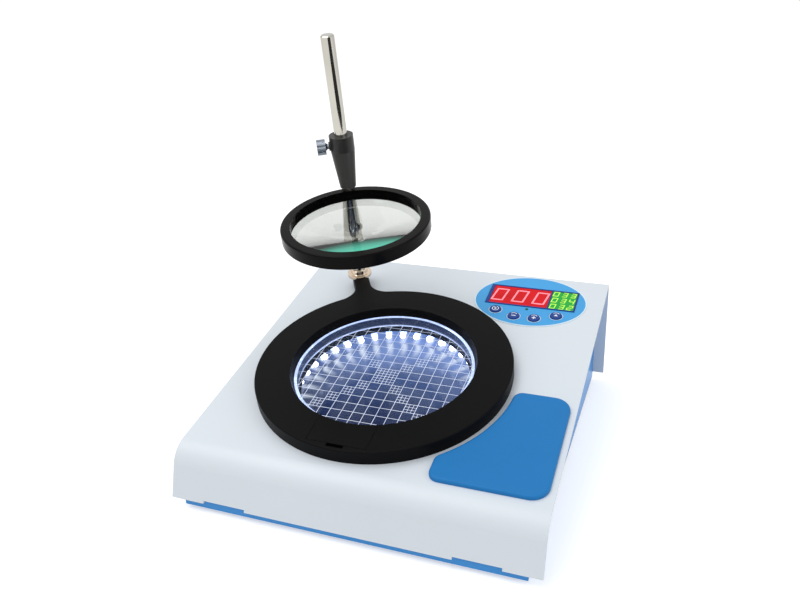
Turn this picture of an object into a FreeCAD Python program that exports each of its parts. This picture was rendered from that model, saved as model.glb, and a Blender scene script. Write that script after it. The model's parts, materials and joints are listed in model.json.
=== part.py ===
import FreeCAD
import Part

import math
import os

from FreeCAD import Placement, Rotation, Vector

# Bench-top colony counter with a sloping deck, a lit dish well, a magnifier on a post and a counting panel.
# Millimetres. X runs to the operator's right, Y to the back and Z up. The origin is on the bench, under the
# middle of the housing. "Deck" coordinates are u (right), v (up the slope) and w (out of the deck), from the
# point of the cover's outer face on the dish well's axis.

# ---------------------------------------------------------------- driving dimensions
fit = 0.3                    # clearance between loose pieces
run = 0.05                   # radial clearance of a running or sliding fit

# housing
cover_width = 298.0
cover_sheet = 2.0
deck_tilt = 12.3             # degrees
deck_height = 75.8           # bench to deck, measured at the well's axis
deck_back = 179.0            # well's axis to the rear fold, up the slope
deck_front = 129.6           # well's axis to the point where deck and apron planes meet
well_offset = 18.0           # the well stands this far left of the housing's middle
apron_lean = 15.0            # degrees the apron's foot stands forward
rear_lean = 10.0             # degrees the rear panel's foot stands back
front_fold_radius = 21.0
rear_fold_radius = 3.0
skirt_height = 9.4           # bench to the cover's lower edge
notch_pitch = 204.0
notch_length = 36.5
notch_depth = 2.2
tray_side_gap = 10.7         # cover's side to the tray's
tray_wall = 2.5
tray_height = 4.0            # bench to the tray's underside
front_lip = 22.0             # bench to the top of the tray's front lip
rear_lip = 26.0
pillar_radius = 5.0
pillar_side_gap = 9.3        # tray's outer side to a pillar's axis
pillar_front_gap = 34.0      # skirt's front edge to the front pillars
pillar_rear_gap = 38.0
foot_radius = 9.0
foot_taper = 1.0
screw_radius = 2.0
screw_head_radius = 3.6
screw_head_height = 2.0
foot_web = 1.2               # rubber left between a screw's head and the tray
pillar_thread_depth = 12.0

# ring bezel on the deck, with the tongue that carries the post
ring_margin = 8.6            # bezel screws' circle to the ring's edge
ring_height = 12.0
throat_radius = 78.4         # takes dishes of 145 to 150 mm
opening_flare = 2.1          # the opening's top edge stands this far outside the throat
throat_height = 4.7          # the conical wall ends this far above the deck
ring_edge = 1.2              # rounding of the bezel's upper edges
cover_hole_gap = 3.6         # throat to the edge of the cover's hole
post_gap = 38.5              # ring's edge to the post's axis
post_heading = 29.64         # degrees from straight back towards the left
tongue_width = 15.5
tongue_flare = 20.0          # radius that blends the tongue into the ring
bezel_screw_count = 6
small_screw_radius = 1.5
small_head_radius = 2.8
small_head_height = 1.8
bezel_thread_depth = 7.0
hatch_width = 50.0
hatch_depth = 3.0
hatch_rim = 6.0              # hatch's outer edge to the ring's
finger_slot_length = 14.0
finger_slot_width = 3.2
finger_slot_depth = 2.5

# light well under the deck
well_margin = 18.0           # ruled plate's edge to the well's wall
well_wall = 1.5
well_depth = 40.0
well_flange_margin = 4.0     # bezel screw's axis to the flange's rim
shoulder_depth = 28.0        # deck to the ledge that carries the lamp board
shoulder_width = 13.5
floor_plate = 2.0
lamp_board_thickness = 1.6
lamp_board_rim = 1.5         # the board reaches this far inside the lamps' tips
lamp_count = 38
lamp_radius = 2.5
lamp_setback = 19.0          # well's wall to the lamps' tips
lamp_body = 6.0
lamp_flange = 3.0
lamp_axis_height = 5.0       # lamp board to lamp axis
holder_wall = 2.5
board_screw_count = 3

# dish platform, which dips when the dish is touched
grid_overlap = 1.1           # the plate reaches this far under the ring
grid_thickness = 3.0
grid_drop = 5.0              # deck to the grid plate's upper face
locator_gap = 0.4            # throat to the locator
locator_wall = 2.5
carrier_ledge = 4.0          # locator's outer face to the carrier's opening
carrier_gap = 2.0            # well's wall to the carrier
carrier_thickness = 3.0
carrier_rim = 3.0
platform_travel = 1.0
guide_count = 3
guide_inset = 4.5            # well's wall to the guide pins
guide_radius = 1.2
spring_radius = 2.1
spring_wire = 0.5
spring_turns = 5.0
switch_side = 4.0
switch_plunger_radius = 1.2

# post and magnifier
post_radius = 6.0
post_top = 251.0             # deck to the post's free end
post_seat = 2.0
post_chamfer = 1.0
stud_radius = 2.5
ferrule_flange = 12.0
ferrule_flange_height = 3.0
ferrule_hub = 7.6
ferrule_hub_height = 7.0
arm_heading = 27.8           # degrees from straight down the slope towards the right
clamp_top = 161.0
clamp_bottom = 147.0
clamp_radius = 11.2
arm_bottom = 116.0
arm_tip_radius = 7.4
bush_wall = 1.2
bush_slit = 1.0
frame_top = 112.4
frame_height = 12.4
frame_radius = 65.6
frame_lip = 8.5
frame_lip_height = 8.6
frame_post_gap = 9.0         # post's axis to the nearest point of the frame
frame_edge = 1.5
lens_edge = 2.0
lens_bulge_up = 5.0
lens_bulge_down = 3.5
lens_seat = 3.5              # the lens is this much wider in radius than the lip's opening
link_radius = 3.0
link_sink = 6.0
thumb_drop = 9.5             # clamp's top to the thumb screw's axis
thumb_radius = 7.3
thumb_length = 8.0
thumb_lobes = 8
thumb_lobe_radius = 1.7
thumb_gap = 4.0              # clamp to the thumb screw's head
thumb_shank = 2.5
thumb_boss = 4.2
tip_length = 2.4
tip_travel = 0.8

# counting panel
panel_half_length = 53.0
panel_half_width = 41.2
panel_side_gap = 15.0
panel_back_gap = 5.1
overlay_thickness = 0.8
window_shift_u = 1.1
window_shift_v = 5.6
window_length = 84.8
window_width = 32.5
window_border = 1.3
window_left_border = 3.2
window_bar = 1.2
window_height = 1.3
rate_opening = 23.5
display_face = 0.9           # deck to the displays' faces
count_digit_width = 12.0
digit_slant = 0.14            # sideways lean of a figure over its height
count_digit_height = 20.4
count_digit_pitch = 19.7
count_stroke = 1.6
rate_digit_width = 5.4
rate_digit_height = 7.6
rate_digit_pitch = 8.0
rate_row_pitch = 10.4
rate_stroke = 0.9
segment_height = 0.25
button_radius = 5.4
button_count = 4
button_pitch = 19.0
button_inset = 12.5
button_rise = 1.3
button_travel = 0.8
button_flange = 0.8
pilot_radius = 1.3
pilot_drop = 3.7
display_board_drop = 14.0
display_board_length = 84.0
display_board_width = 62.0
board_thickness = 1.6
standoff_radius = 2.6

# palm rest
palm_gap = 4.5               # ring bezel to the palm rest
palm_length = 88.5
palm_width = 109.5
palm_side_gap = 4.8
palm_front_gap = 17.5
palm_height = 3.5
palm_right_corner = 14.0
palm_left_corner = 8.5
palm_edge = 1.2

# electronics in the tray and on the rear panel
main_board_length = 84.0
main_board_width = 92.0
main_board_x = 34.0
main_board_y = 32.0
main_standoff_height = 8.0
rear_port_height = 30.0      # rear fold to the line of the rear ports, down the panel
rocker_x = 92.0
inlet_x = 58.0
rocker_barrel = 7.4
rocker_width = 9.0
rocker_throw = 8.0           # degrees either side of level
inlet_radius = 5.5

# ---------------------------------------------------------------- derived places
tilt = math.radians(deck_tilt)
deck_right = cover_width / 2 + well_offset
front_drop = deck_height - deck_front * math.sin(tilt) - skirt_height
rear_rise = deck_height + deck_back * math.sin(tilt) - skirt_height
front_reach = deck_front * math.cos(tilt) + front_drop * math.tan(math.radians(apron_lean))
rear_reach = deck_back * math.cos(tilt) + rear_rise * math.tan(math.radians(rear_lean))
deck_y = (front_reach - rear_reach) / 2
skirt_front = deck_y - front_reach
skirt_rear = deck_y + rear_reach
tray_floor = tray_height + tray_wall
tray_half = cover_width / 2 - tray_side_gap

DECK = Placement(Vector(-well_offset, deck_y, deck_height), Rotation(Vector(1, 0, 0), deck_tilt))

opening_radius = throat_radius + opening_flare
cover_hole_radius = throat_radius + cover_hole_gap
grid_radius = throat_radius + grid_overlap
locator_outer = throat_radius - locator_gap
well_radius = grid_radius + well_margin
carrier_inner = locator_outer - carrier_ledge
carrier_outer = well_radius - carrier_gap
guide_circle = well_radius - guide_inset
lamp_tip_circle = well_radius - lamp_setback
lamp_board_inner = lamp_tip_circle - lamp_board_rim
bezel_screw_circle = well_radius + well_wall + small_head_radius + 2 * fit
ring_radius = bezel_screw_circle + ring_margin
hatch_outer = ring_radius - hatch_rim
post_reach = ring_radius + post_gap

post_u = -post_reach * math.sin(math.radians(post_heading))
post_v = post_reach * math.cos(math.radians(post_heading))
# Arm coordinates: origin on the post's axis in the deck's face, x towards the lens, z up the post.
ARM = DECK.multiply(Placement(Vector(post_u, post_v, 0), Rotation(Vector(0, 0, 1), arm_heading - 90)))
lens_x = frame_post_gap + frame_radius

panel_u = deck_right - panel_side_gap - panel_half_length
panel_v = deck_back - panel_back_gap - panel_half_width
window_u = panel_u + window_shift_u
window_v = panel_v + window_shift_v
window_left = window_u - window_length / 2
window_right = window_u + window_length / 2
rate_right = window_right - window_border
rate_left = rate_right - rate_opening
count_left = window_left + window_left_border
count_right = rate_left - window_bar
opening_low = window_v - window_width / 2 + window_border
opening_high = window_v + window_width / 2 - window_border
board_top = -display_board_drop + board_thickness

# Rear coordinates: origin on the rear panel's outer face, z outwards, y down the panel.
rear_fold_y = deck_y + deck_back * math.cos(tilt)
rear_fold_z = deck_height + deck_back * math.sin(tilt)
REAR = Placement(
    Vector(
        0,
        rear_fold_y + rear_port_height * math.sin(math.radians(rear_lean)),
        rear_fold_z - rear_port_height * math.cos(math.radians(rear_lean)),
    ),
    Rotation(Vector(1, 0, 0), rear_lean - 90),
)

well_flange = bezel_screw_circle + well_flange_margin
carrier_top = -grid_drop - grid_thickness
carrier_under = carrier_top - carrier_thickness
lamp_board_top = -shoulder_depth + lamp_board_thickness
lamp_axis = lamp_board_top + lamp_axis_height


# ---------------------------------------------------------------- shape helpers
def box(x0, x1, y0, y1, z0, z1):
    return Part.makeBox(x1 - x0, y1 - y0, z1 - z0, Vector(x0, y0, z0))


def disc(radius, z0, z1, x=0.0, y=0.0):
    return Part.makeCylinder(radius, z1 - z0, Vector(x, y, z0))


def tube(outer, inner, z0, z1, x=0.0, y=0.0):
    return disc(outer, z0, z1, x, y).cut(disc(inner, z0 - 1, z1 + 1, x, y))


def cone(r0, r1, z0, z1, x=0.0, y=0.0):
    return Part.makeCone(r0, r1, z1 - z0, Vector(x, y, z0))


def fuse(shapes):
    first, rest = shapes[0], shapes[1:]
    return first.fuse(rest).removeSplitter() if rest else first


def cut(shape, tools):
    return shape.cut(Part.makeCompound(tools))


def group(shapes):
    return Part.makeCompound(shapes)


def placed(shape, placement):
    moved = shape.copy()
    moved.Placement = placement.multiply(moved.Placement)
    return moved


def turned(shape, degrees, centre=Vector(0, 0, 0), axis=Vector(0, 0, 1)):
    moved = shape.copy()
    moved.rotate(centre, axis, degrees)
    return moved


def around(count, start=0.0):
    return [start + i * 360.0 / count for i in range(count)]


def polar(radius, degrees):
    return radius * math.cos(math.radians(degrees)), radius * math.sin(math.radians(degrees))


def inset(points, gaps):
    """Move each side of an anticlockwise (y, z) outline inwards by its own gap."""
    lines = []
    for i, (y0, z0) in enumerate(points):
        y1, z1 = points[(i + 1) % len(points)]
        length = math.hypot(y1 - y0, z1 - z0)
        dy, dz = (y1 - y0) / length, (z1 - z0) / length
        lines.append((y0 - dz * gaps[i], z0 + dy * gaps[i], dy, dz))
    corners = []
    for i, (y1, z1, dy1, dz1) in enumerate(lines):
        y0, z0, dy0, dz0 = lines[i - 1]
        s = ((y1 - y0) * dz1 - (z1 - z0) * dy1) / (dy0 * dz1 - dz0 * dy1)
        corners.append((y0 + s * dy0, z0 + s * dz0))
    return corners


def prism_across(points, radii, half_width):
    """Solid with an anticlockwise (y, z) outline, rounded corners and the given half width along X."""
    edges = []
    starts = []
    ends = []
    for i, (y, z) in enumerate(points):
        here = Vector(-half_width, y, z)
        before = Vector(-half_width, *points[i - 1]).sub(here).normalize()
        after = Vector(-half_width, *points[(i + 1) % len(points)]).sub(here).normalize()
        half_angle = before.getAngle(after) / 2
        reach = radii[i] / math.tan(half_angle)
        start = here + before * reach
        end = here + after * reach
        if radii[i] > 0:
            middle = (before + after).normalize()
            middle = here + middle * (radii[i] / math.sin(half_angle) - radii[i])
            edges.append(Part.Arc(start, middle, end).toShape())
        starts.append(start)
        ends.append(end)
    for i, end in enumerate(ends):
        edges.append(Part.makeLine(end, starts[(i + 1) % len(points)]))
    wire = Part.Wire(Part.__sortEdges__(edges))
    return Part.Face(wire).extrude(Vector(2 * half_width, 0, 0))


def ellipse_plate(half_length, half_width, z0, z1, x, y):
    curve = Part.Ellipse(Vector(x, y, z0), half_length, half_width)
    return Part.Face(Part.Wire(curve.toShape())).extrude(Vector(0, 0, z1 - z0))


def screw(shank, length, head, head_height, x, y, head_z, up=True):
    """Pan-head screw along Z; head_z is the face under its head."""
    if up:
        under = disc(head, head_z - head_height, head_z, x, y)
        return fuse([under, disc(shank, head_z, head_z + length, x, y)])
    over = disc(head, head_z, head_z + head_height, x, y)
    return fuse([over, disc(shank, head_z - length, head_z, x, y)])


def slanted_bar(x0, x1, y0, y1, z0, z1, middle):
    """Box whose upright sides lean to the right, straight across at the height of the middle."""
    corners = [(x0, y0), (x1, y0), (x1, y1), (x0, y1)]
    points = [Vector(x + (y - middle) * digit_slant, y, z0) for x, y in corners]
    return Part.Face(Part.makePolygon(points + points[:1])).extrude(Vector(0, 0, z1 - z0))


def digit(figure, width, height, stroke, x, y, z, depth):
    """Lit bars of one seven-segment figure, centred on (x, y)."""
    lit = {
        "0": "abcdef", "1": "bc", "2": "abged", "3": "abgcd", "4": "fgbc",
        "5": "afgcd", "6": "afgcde", "7": "abc", "8": "abcdefg", "9": "abcdfg",
    }[figure]
    gap = 0.12 * stroke
    flat = width / 2 - stroke - gap
    high = height / 2 - stroke - gap
    left, right = x - width / 2, x + width / 2
    bars = {
        "a": (x - flat, x + flat, y + height / 2 - stroke, y + height / 2),
        "g": (x - flat, x + flat, y - stroke / 2, y + stroke / 2),
        "d": (x - flat, x + flat, y - height / 2, y - height / 2 + stroke),
        "f": (left, left + stroke, y + gap, y + high + stroke),
        "b": (right - stroke, right, y + gap, y + high + stroke),
        "e": (left, left + stroke, y - high - stroke, y - gap),
        "c": (right - stroke, right, y - high - stroke, y - gap),
    }
    return [slanted_bar(*bars[name], z, z + depth, y) for name in lit]


def spring(radius, wire, z0, z1, turns, x, y):
    pitch = (z1 - z0 - wire) / turns
    helix = Part.makeHelix(pitch, z1 - z0 - wire, radius)
    section = Part.Wire(Part.makeCircle(wire / 2, Vector(radius, 0, 0), Vector(0, 1, 0)))
    coil = Part.Wire(helix.Edges).makePipeShell([section], True, True)
    coil.translate(Vector(x, y, z0 + wire / 2))
    return coil


def under_deck(shape):
    """Trim a shape in the part's frame to what lies below the cover's inner face."""
    reach = 4 * cover_width
    room = placed(box(-reach, reach, -reach, reach, -reach, -cover_sheet), DECK)
    return shape.common(room)


nodes = {}
board_screws = []            # identical small screws, one node for all of them


def add(node, shape, placement=None):
    nodes[node] = placed(shape, placement) if placement else shape


# ---------------------------------------------------------------- housing
def cover_outline():
    return [
        (skirt_rear, skirt_height),
        (rear_fold_y, rear_fold_z),
        (deck_y - deck_front * math.cos(tilt), deck_height - deck_front * math.sin(tilt)),
        (skirt_front, skirt_height),
    ]


def window_hole(extra):
    return box(
        count_left - extra, rate_right + extra, opening_low - extra, opening_high + extra, -cover_sheet - 1, 2
    )


def button_places():
    places = []
    for i in range(button_count):
        du = (i - (button_count - 1) / 2) * button_pitch
        share = math.sqrt(max(0.0, 1 - (du / (panel_half_length - button_inset)) ** 2))
        places.append((panel_u + du, panel_v - (panel_half_width - button_inset) * share))
    return places


def pilot_place():
    return panel_u, window_v - window_width / 2 - pilot_drop


def bezel_screw_places():
    return [polar(bezel_screw_circle, angle) for angle in around(bezel_screw_count)]


def pillar_places():
    x = tray_half - pillar_side_gap
    front = skirt_front + pillar_front_gap
    rear = skirt_rear - pillar_rear_gap
    return [(-x, front), (x, front), (-x, rear), (x, rear)]


def make_top_cover():
    outline = cover_outline()
    outer = prism_across(outline, [0, rear_fold_radius, front_fold_radius, 0], cover_width / 2)
    sheet = cover_sheet
    inner_outline = inset(outline, [sheet, sheet, sheet, -50])
    inner_radii = [0, rear_fold_radius - sheet, front_fold_radius - sheet, 0]
    shell = outer.cut(prism_across(inner_outline, inner_radii, cover_width / 2 + 1))
    holes = [disc(cover_hole_radius, -cover_sheet - 1, 1), window_hole(fit)]
    holes += [disc(small_screw_radius + fit, -10, 1, x, y) for x, y in bezel_screw_places()]
    holes += [disc(button_radius + fit, -10, 1, x, y) for x, y in button_places()]
    holes.append(disc(pilot_radius + fit, -10, 1, *pilot_place()))
    holes.append(disc(stud_radius + fit, -10, 1, post_u, post_v))
    shell = cut(shell, [placed(hole, DECK) for hole in holes])
    ports = [
        box(rocker_x - 6.5, rocker_x + 6.5, -10.5, 10.5, -5, 1),
        disc(inlet_radius + fit, -5, 1, inlet_x, 0),
    ]
    shell = cut(shell, [placed(port, REAR) for port in ports])
    front = skirt_front - 5
    notches = [
        box(x - notch_length / 2, x + notch_length / 2, front, front + 15, 0, skirt_height + notch_depth)
        for x in (-notch_pitch / 2, notch_pitch / 2)
    ]
    add("top_cover", cut(shell, notches))


def make_base_tray():
    gap = cover_sheet + fit
    outline = inset(cover_outline(), [gap, gap, gap, tray_height - skirt_height])
    radii = [0, max(rear_fold_radius - gap, 0.5), front_fold_radius - gap, 0]
    body = prism_across(outline, radii, tray_half)
    cavity = inset(outline, [tray_wall, -30, tray_wall, tray_wall])
    body = body.cut(prism_across(cavity, [0, 0, 0, 0], tray_half - tray_wall))
    flat_gap = cover_sheet / math.cos(math.radians(apron_lean)) + fit
    room = box(-tray_half, tray_half, skirt_front + flat_gap, skirt_rear - flat_gap, 0, 4 * deck_height)
    body = body.common(room)
    inside = tray_half - tray_wall
    middle = (skirt_front + skirt_rear) / 2
    trims = [
        box(-inside, inside, skirt_front - 1, middle, front_lip, 4 * deck_height),
        box(-inside, inside, middle, skirt_rear + 1, rear_lip, 4 * deck_height),
    ]
    trims += [disc(screw_radius + fit, 0, tray_floor + 1, x, y) for x, y in pillar_places()]
    add("base_tray", cut(body, trims))


def make_pillars_feet_and_screws():
    pillars = []
    feet = []
    screws = []
    head_face = tray_height - foot_web
    for x, y in pillar_places():
        column = under_deck(disc(pillar_radius, tray_floor, 3 * deck_height, x, y))
        hole = disc(screw_radius + run, tray_floor - 1, tray_floor + pillar_thread_depth, x, y)
        pillars.append(column.cut(hole))
        foot = cone(foot_radius - foot_taper, foot_radius, 0, tray_height, x, y)
        bore = disc(screw_radius + fit, -1, tray_height + 1, x, y)
        counterbore = disc(screw_head_radius + fit, -1, head_face, x, y)
        feet.append(cut(foot, [bore, counterbore]))
        length = tray_floor + pillar_thread_depth - 2 - head_face
        screws.append(screw(screw_radius, length, screw_head_radius, screw_head_height, x, y, head_face))
    add("cover_pillars", group(pillars))
    add("rubber_feet", group(feet))
    add("foot_screws", group(screws))


# ---------------------------------------------------------------- ring bezel and post
def bezel_plate():
    """Ring with a tongue along +Y, blended into it by two flares."""
    half = tongue_width / 2
    blend_x = half + tongue_flare
    blend_y = math.sqrt((ring_radius + tongue_flare) ** 2 - blend_x ** 2)
    share = ring_radius / (ring_radius + tongue_flare)
    edges = [
        Part.Arc(
            Vector(half, post_reach, 0), Vector(0, post_reach + half, 0), Vector(-half, post_reach, 0)
        ).toShape(),
        Part.Arc(
            Vector(-blend_x * share, blend_y * share, 0), Vector(0, -ring_radius, 0),
            Vector(blend_x * share, blend_y * share, 0),
        ).toShape(),
    ]
    for side in (-1, 1):
        centre = Vector(side * blend_x, blend_y, 0)
        at_tongue = Vector(side * half, blend_y, 0)
        at_ring = centre * share
        towards = ((at_tongue - centre).normalize() + (at_ring - centre).normalize()).normalize()
        edges.append(Part.Arc(at_tongue, centre + towards * tongue_flare, at_ring).toShape())
        edges.append(Part.makeLine(at_tongue, Vector(side * half, post_reach, 0)))
    wire = Part.Wire(Part.__sortEdges__(edges))
    return Part.Face(wire).extrude(Vector(0, 0, ring_height))


def make_ring_bezel():
    body = turned(bezel_plate(), post_heading)
    top_edges = [e for e in body.Edges if all(abs(v.Z - ring_height) < 0.01 for v in e.Vertexes)]
    body = body.makeFillet(ring_edge, top_edges)
    tools = [
        disc(throat_radius, -1, ring_height + 1),
        cone(throat_radius, opening_radius, throat_height, ring_height + 0.001),
        hatch_outline(0, ring_height - hatch_depth, ring_height + 1),
        finger_slot(),
        disc(post_radius + run, post_seat, ring_height + 1, post_u, post_v),
        disc(stud_radius + fit, -1, ring_height, post_u, post_v),
    ]
    tools += [
        disc(small_screw_radius + run, -1, bezel_thread_depth + 1, x, y) for x, y in bezel_screw_places()
    ]
    add("ring_bezel", cut(body, tools), DECK)


def hatch_outline(gap, z0, z1):
    half = hatch_width / 2 - gap
    blank = box(-half, half, -hatch_outer + gap, 0, z0, z1)
    return blank.cut(disc(opening_radius - 2, z0 - 1, z1 + 1))


def finger_slot():
    half = finger_slot_length / 2
    middle = -hatch_outer - finger_slot_width / 2
    low, high = ring_height - finger_slot_depth, ring_height + 1
    slot = box(-half, half, middle - finger_slot_width / 2, middle + finger_slot_width / 2 + 0.01, low, high)
    return slot


def make_front_hatch():
    plate = hatch_outline(fit, ring_height - hatch_depth, ring_height)
    bore = cone(throat_radius, opening_radius, throat_height, ring_height + 0.001)
    rim = disc(opening_radius + 0.01, ring_height, ring_height + 1)
    add("front_hatch", cut(plate, [bore, rim]), DECK)


def make_bezel_screws():
    head_face = -cover_sheet - well_wall
    length = bezel_thread_depth - head_face - 1
    screws = [
        screw(small_screw_radius, length, small_head_radius, small_head_height, x, y, head_face)
        for x, y in bezel_screw_places()
    ]
    add("bezel_screws", group(screws), DECK)


def make_post():
    rod = disc(post_radius, post_seat, post_top, post_u, post_v)
    rim = [e for e in rod.Edges if all(abs(v.Z - post_top) < 0.01 for v in e.Vertexes)]
    rod = rod.makeChamfer(post_chamfer, rim)
    thread = disc(stud_radius + run, post_seat - 1, post_seat + 14, post_u, post_v)
    add("support_post", rod.cut(thread), DECK)
    flange_top = ring_height + ferrule_flange_height
    collar = fuse([
        disc(ferrule_flange, ring_height, flange_top, post_u, post_v),
        cone(ferrule_hub + 0.8, ferrule_hub, flange_top, ring_height + ferrule_hub_height, post_u, post_v),
    ])
    rims = [e for e in collar.Edges if len(e.Vertexes) == 1 and e.Vertexes[0].Z > ring_height + 0.01]
    collar = collar.makeChamfer(0.5, [e for e in rims if e.Length > 2 * math.pi * ferrule_hub - 0.5])
    bore = disc(post_radius + run, 0, 2 * post_top, post_u, post_v)
    add("post_ferrule", collar.cut(bore), DECK)
    washer = tube(5.0, stud_radius + fit, -cover_sheet - 1, -cover_sheet, post_u, post_v)
    bolt = screw(stud_radius, post_seat + cover_sheet + 12, 4.5, 3.5, post_u, post_v, -cover_sheet - 1)
    add("post_bolt", group([bolt, washer]), DECK)


# ---------------------------------------------------------------- light well
def make_light_well():
    top = -cover_sheet
    ledge = well_radius - shoulder_width
    outer = fuse([
        disc(well_flange, top - well_wall, top),
        disc(well_radius + well_wall, -shoulder_depth - well_wall, top),
        disc(ledge + well_wall, -well_depth - well_wall, top),
    ])
    tools = [
        disc(well_radius, -shoulder_depth, top + 1),
        disc(ledge, -well_depth, top + 1),
    ]
    tools += [disc(small_screw_radius + fit, -10, 1, x, y) for x, y in bezel_screw_places()]
    guides = [polar(guide_circle, angle) for angle in around(guide_count, 30)]
    tools += [disc(guide_radius + 2 * fit, -well_depth, 0, x, y) for x, y in guides]
    tools += [disc(small_screw_radius + run, -well_depth, 0, x, y) for x, y in board_screw_places()]
    add("light_well", cut(outer, tools), DECK)
    add("dark_floor", disc(ledge - fit, -well_depth, -well_depth + floor_plate), DECK)


def board_screw_places():
    return [polar(guide_circle, angle) for angle in around(board_screw_count, 90)]


def make_lamps():
    low, high = -shoulder_depth, lamp_board_top
    board = tube(well_radius - fit, lamp_board_inner, low, high)
    guides = [polar(guide_circle, angle) for angle in around(guide_count, 30)]
    tools = [disc(guide_radius + fit, low - 1, high + 1, x, y) for x, y in guides]
    tools += [disc(small_screw_radius + fit, low - 1, high + 1, x, y) for x, y in board_screw_places()]
    add("lamp_board", cut(board, tools), DECK)
    length = lamp_board_thickness + well_wall
    screws = [
        screw(small_screw_radius, length, small_head_radius, small_head_height, x, y, high, up=False)
        for x, y in board_screw_places()
    ]
    board_screws.extend(placed(item, DECK) for item in screws)
    holder_inner = math.hypot(lamp_tip_circle + lamp_radius + lamp_body, lamp_flange) + run
    holder = tube(holder_inner + holder_wall, holder_inner, high, lamp_axis + lamp_flange + 0.6)
    add("lamp_holder", holder, DECK)
    lamps = []
    for angle in around(lamp_count, 90):
        tip = lamp_tip_circle + lamp_radius
        body = Part.makeCylinder(lamp_radius, lamp_body, Vector(tip, 0, lamp_axis), Vector(1, 0, 0))
        dome = Part.makeSphere(lamp_radius, Vector(tip, 0, lamp_axis))
        rim = Part.makeCylinder(lamp_flange, 1.0, Vector(tip + lamp_body - 1, 0, lamp_axis), Vector(1, 0, 0))
        base = box(tip + lamp_body - 2.5, tip + lamp_body - 1, -1.6, 1.6, high, lamp_axis)
        lamps.append(turned(fuse([body, dome, rim, base]), angle))
    add("lamps", group(lamps), DECK)


def make_platform_springs_and_switch():
    spring_top = carrier_under - platform_travel - run
    coils = [
        spring(spring_radius, spring_wire, lamp_board_top + run, spring_top, spring_turns, x, y)
        for x, y in [polar(guide_circle, angle) for angle in around(guide_count, 30)]
    ]
    add("platform_springs", group(coils), DECK)
    reach = (carrier_under - platform_travel - 0.15) - lamp_board_top
    x = -(carrier_outer - switch_side / 2 - 1)
    half = switch_side / 2
    body = box(x - half, x + half, -half, half, lamp_board_top, lamp_board_top + reach - 3)
    plunger = disc(switch_plunger_radius, lamp_board_top + reach - 3, lamp_board_top + reach, x, 0)
    add("press_switch", fuse([body, plunger]), DECK)


def make_platform():
    ring = tube(carrier_outer, carrier_inner, carrier_under, carrier_top)
    rim = tube(carrier_outer, carrier_outer - carrier_rim, carrier_top, -cover_sheet - fit)
    pins = [
        disc(guide_radius, -shoulder_depth - well_wall, carrier_under, *polar(guide_circle, angle))
        for angle in around(guide_count, 30)
    ]
    add("platform_carrier", fuse([ring, rim] + pins), DECK)
    add("grid_plate", disc(grid_radius, carrier_top, -grid_drop), DECK)
    locator = tube(locator_outer, locator_outer - locator_wall, -grid_drop, throat_height)
    add("dish_locator", locator, DECK)


# ---------------------------------------------------------------- magnifier arm
def make_bush():
    bush = tube(post_radius + bush_wall, post_radius + run, clamp_bottom, clamp_top)
    slit = box(0, 2 * post_radius, -bush_slit / 2, bush_slit / 2, clamp_bottom - 1, clamp_top + 1)
    add("clamp_bush", bush.cut(slit), ARM)


def make_arm():
    head = disc(clamp_radius, clamp_bottom, clamp_top)
    link_x = frame_post_gap + frame_lip / 2
    upper = Part.Wire(Part.makeCircle(clamp_radius, Vector(0, 0, clamp_bottom)))
    lower = Part.Wire(Part.makeCircle(arm_tip_radius, Vector(link_x, 0, arm_bottom)))
    taper = Part.makeLoft([upper, lower], True, True)
    thumb_z = clamp_top - thumb_drop
    boss = Part.makeCylinder(thumb_boss, clamp_radius + 1, Vector(0, 0, thumb_z), Vector(0, -1, 0))
    body = fuse([head, taper, boss])
    outward = Vector(0, -1, 0)
    screw_hole = Part.makeCylinder(thumb_shank + run, 2 * clamp_radius, Vector(0, 0, thumb_z), outward)
    bush_radius = post_radius + bush_wall
    tools = [
        disc(bush_radius + run, clamp_bottom, clamp_top + 1),
        disc(post_radius + fit, arm_bottom - 1, clamp_bottom + 0.01),
        screw_hole,
        disc(link_radius, arm_bottom - 1, arm_bottom + link_sink, link_x, 0),
    ]
    add("clamp_arm", cut(body, tools), ARM)
    frame_low = frame_top - frame_lip_height / 2
    link = disc(link_radius, frame_low, arm_bottom + link_sink, link_x, 0)
    add("arm_link_pin", link, ARM)


def make_thumb_screw():
    z = clamp_top - thumb_drop
    start = clamp_radius + thumb_gap
    tip_end = post_radius + bush_wall + 2 * run + tip_length + tip_travel + 2 * run
    head = disc(thumb_radius, 0, thumb_length)
    notches = [
        disc(thumb_lobe_radius, -1, thumb_length + 1, *polar(thumb_radius + 0.6, angle))
        for angle in around(thumb_lobes, 180 / thumb_lobes)
    ]
    head = cut(head, notches)
    collar = cone(thumb_shank + 1.4, thumb_shank, -1.6, 0)
    collar = turned(collar, 180, Vector(0, 0, -0.8), Vector(1, 0, 0))
    shank = disc(thumb_shank, tip_end - start, 0)
    knob = fuse([head, collar, shank])
    lay = Placement(Vector(0, -start, z), Rotation(Vector(1, 0, 0), 90))
    add("thumb_screw", placed(knob, lay), ARM)
    near = post_radius + bush_wall + 2 * run
    tip = Part.makeCylinder(thumb_shank - fit, tip_length, Vector(0, -near + 0.5, z), Vector(0, -1, 0))
    bush_face = disc(near, z - 10, z + 10)
    add("pressure_tip", tip.cut(bush_face), ARM)


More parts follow.
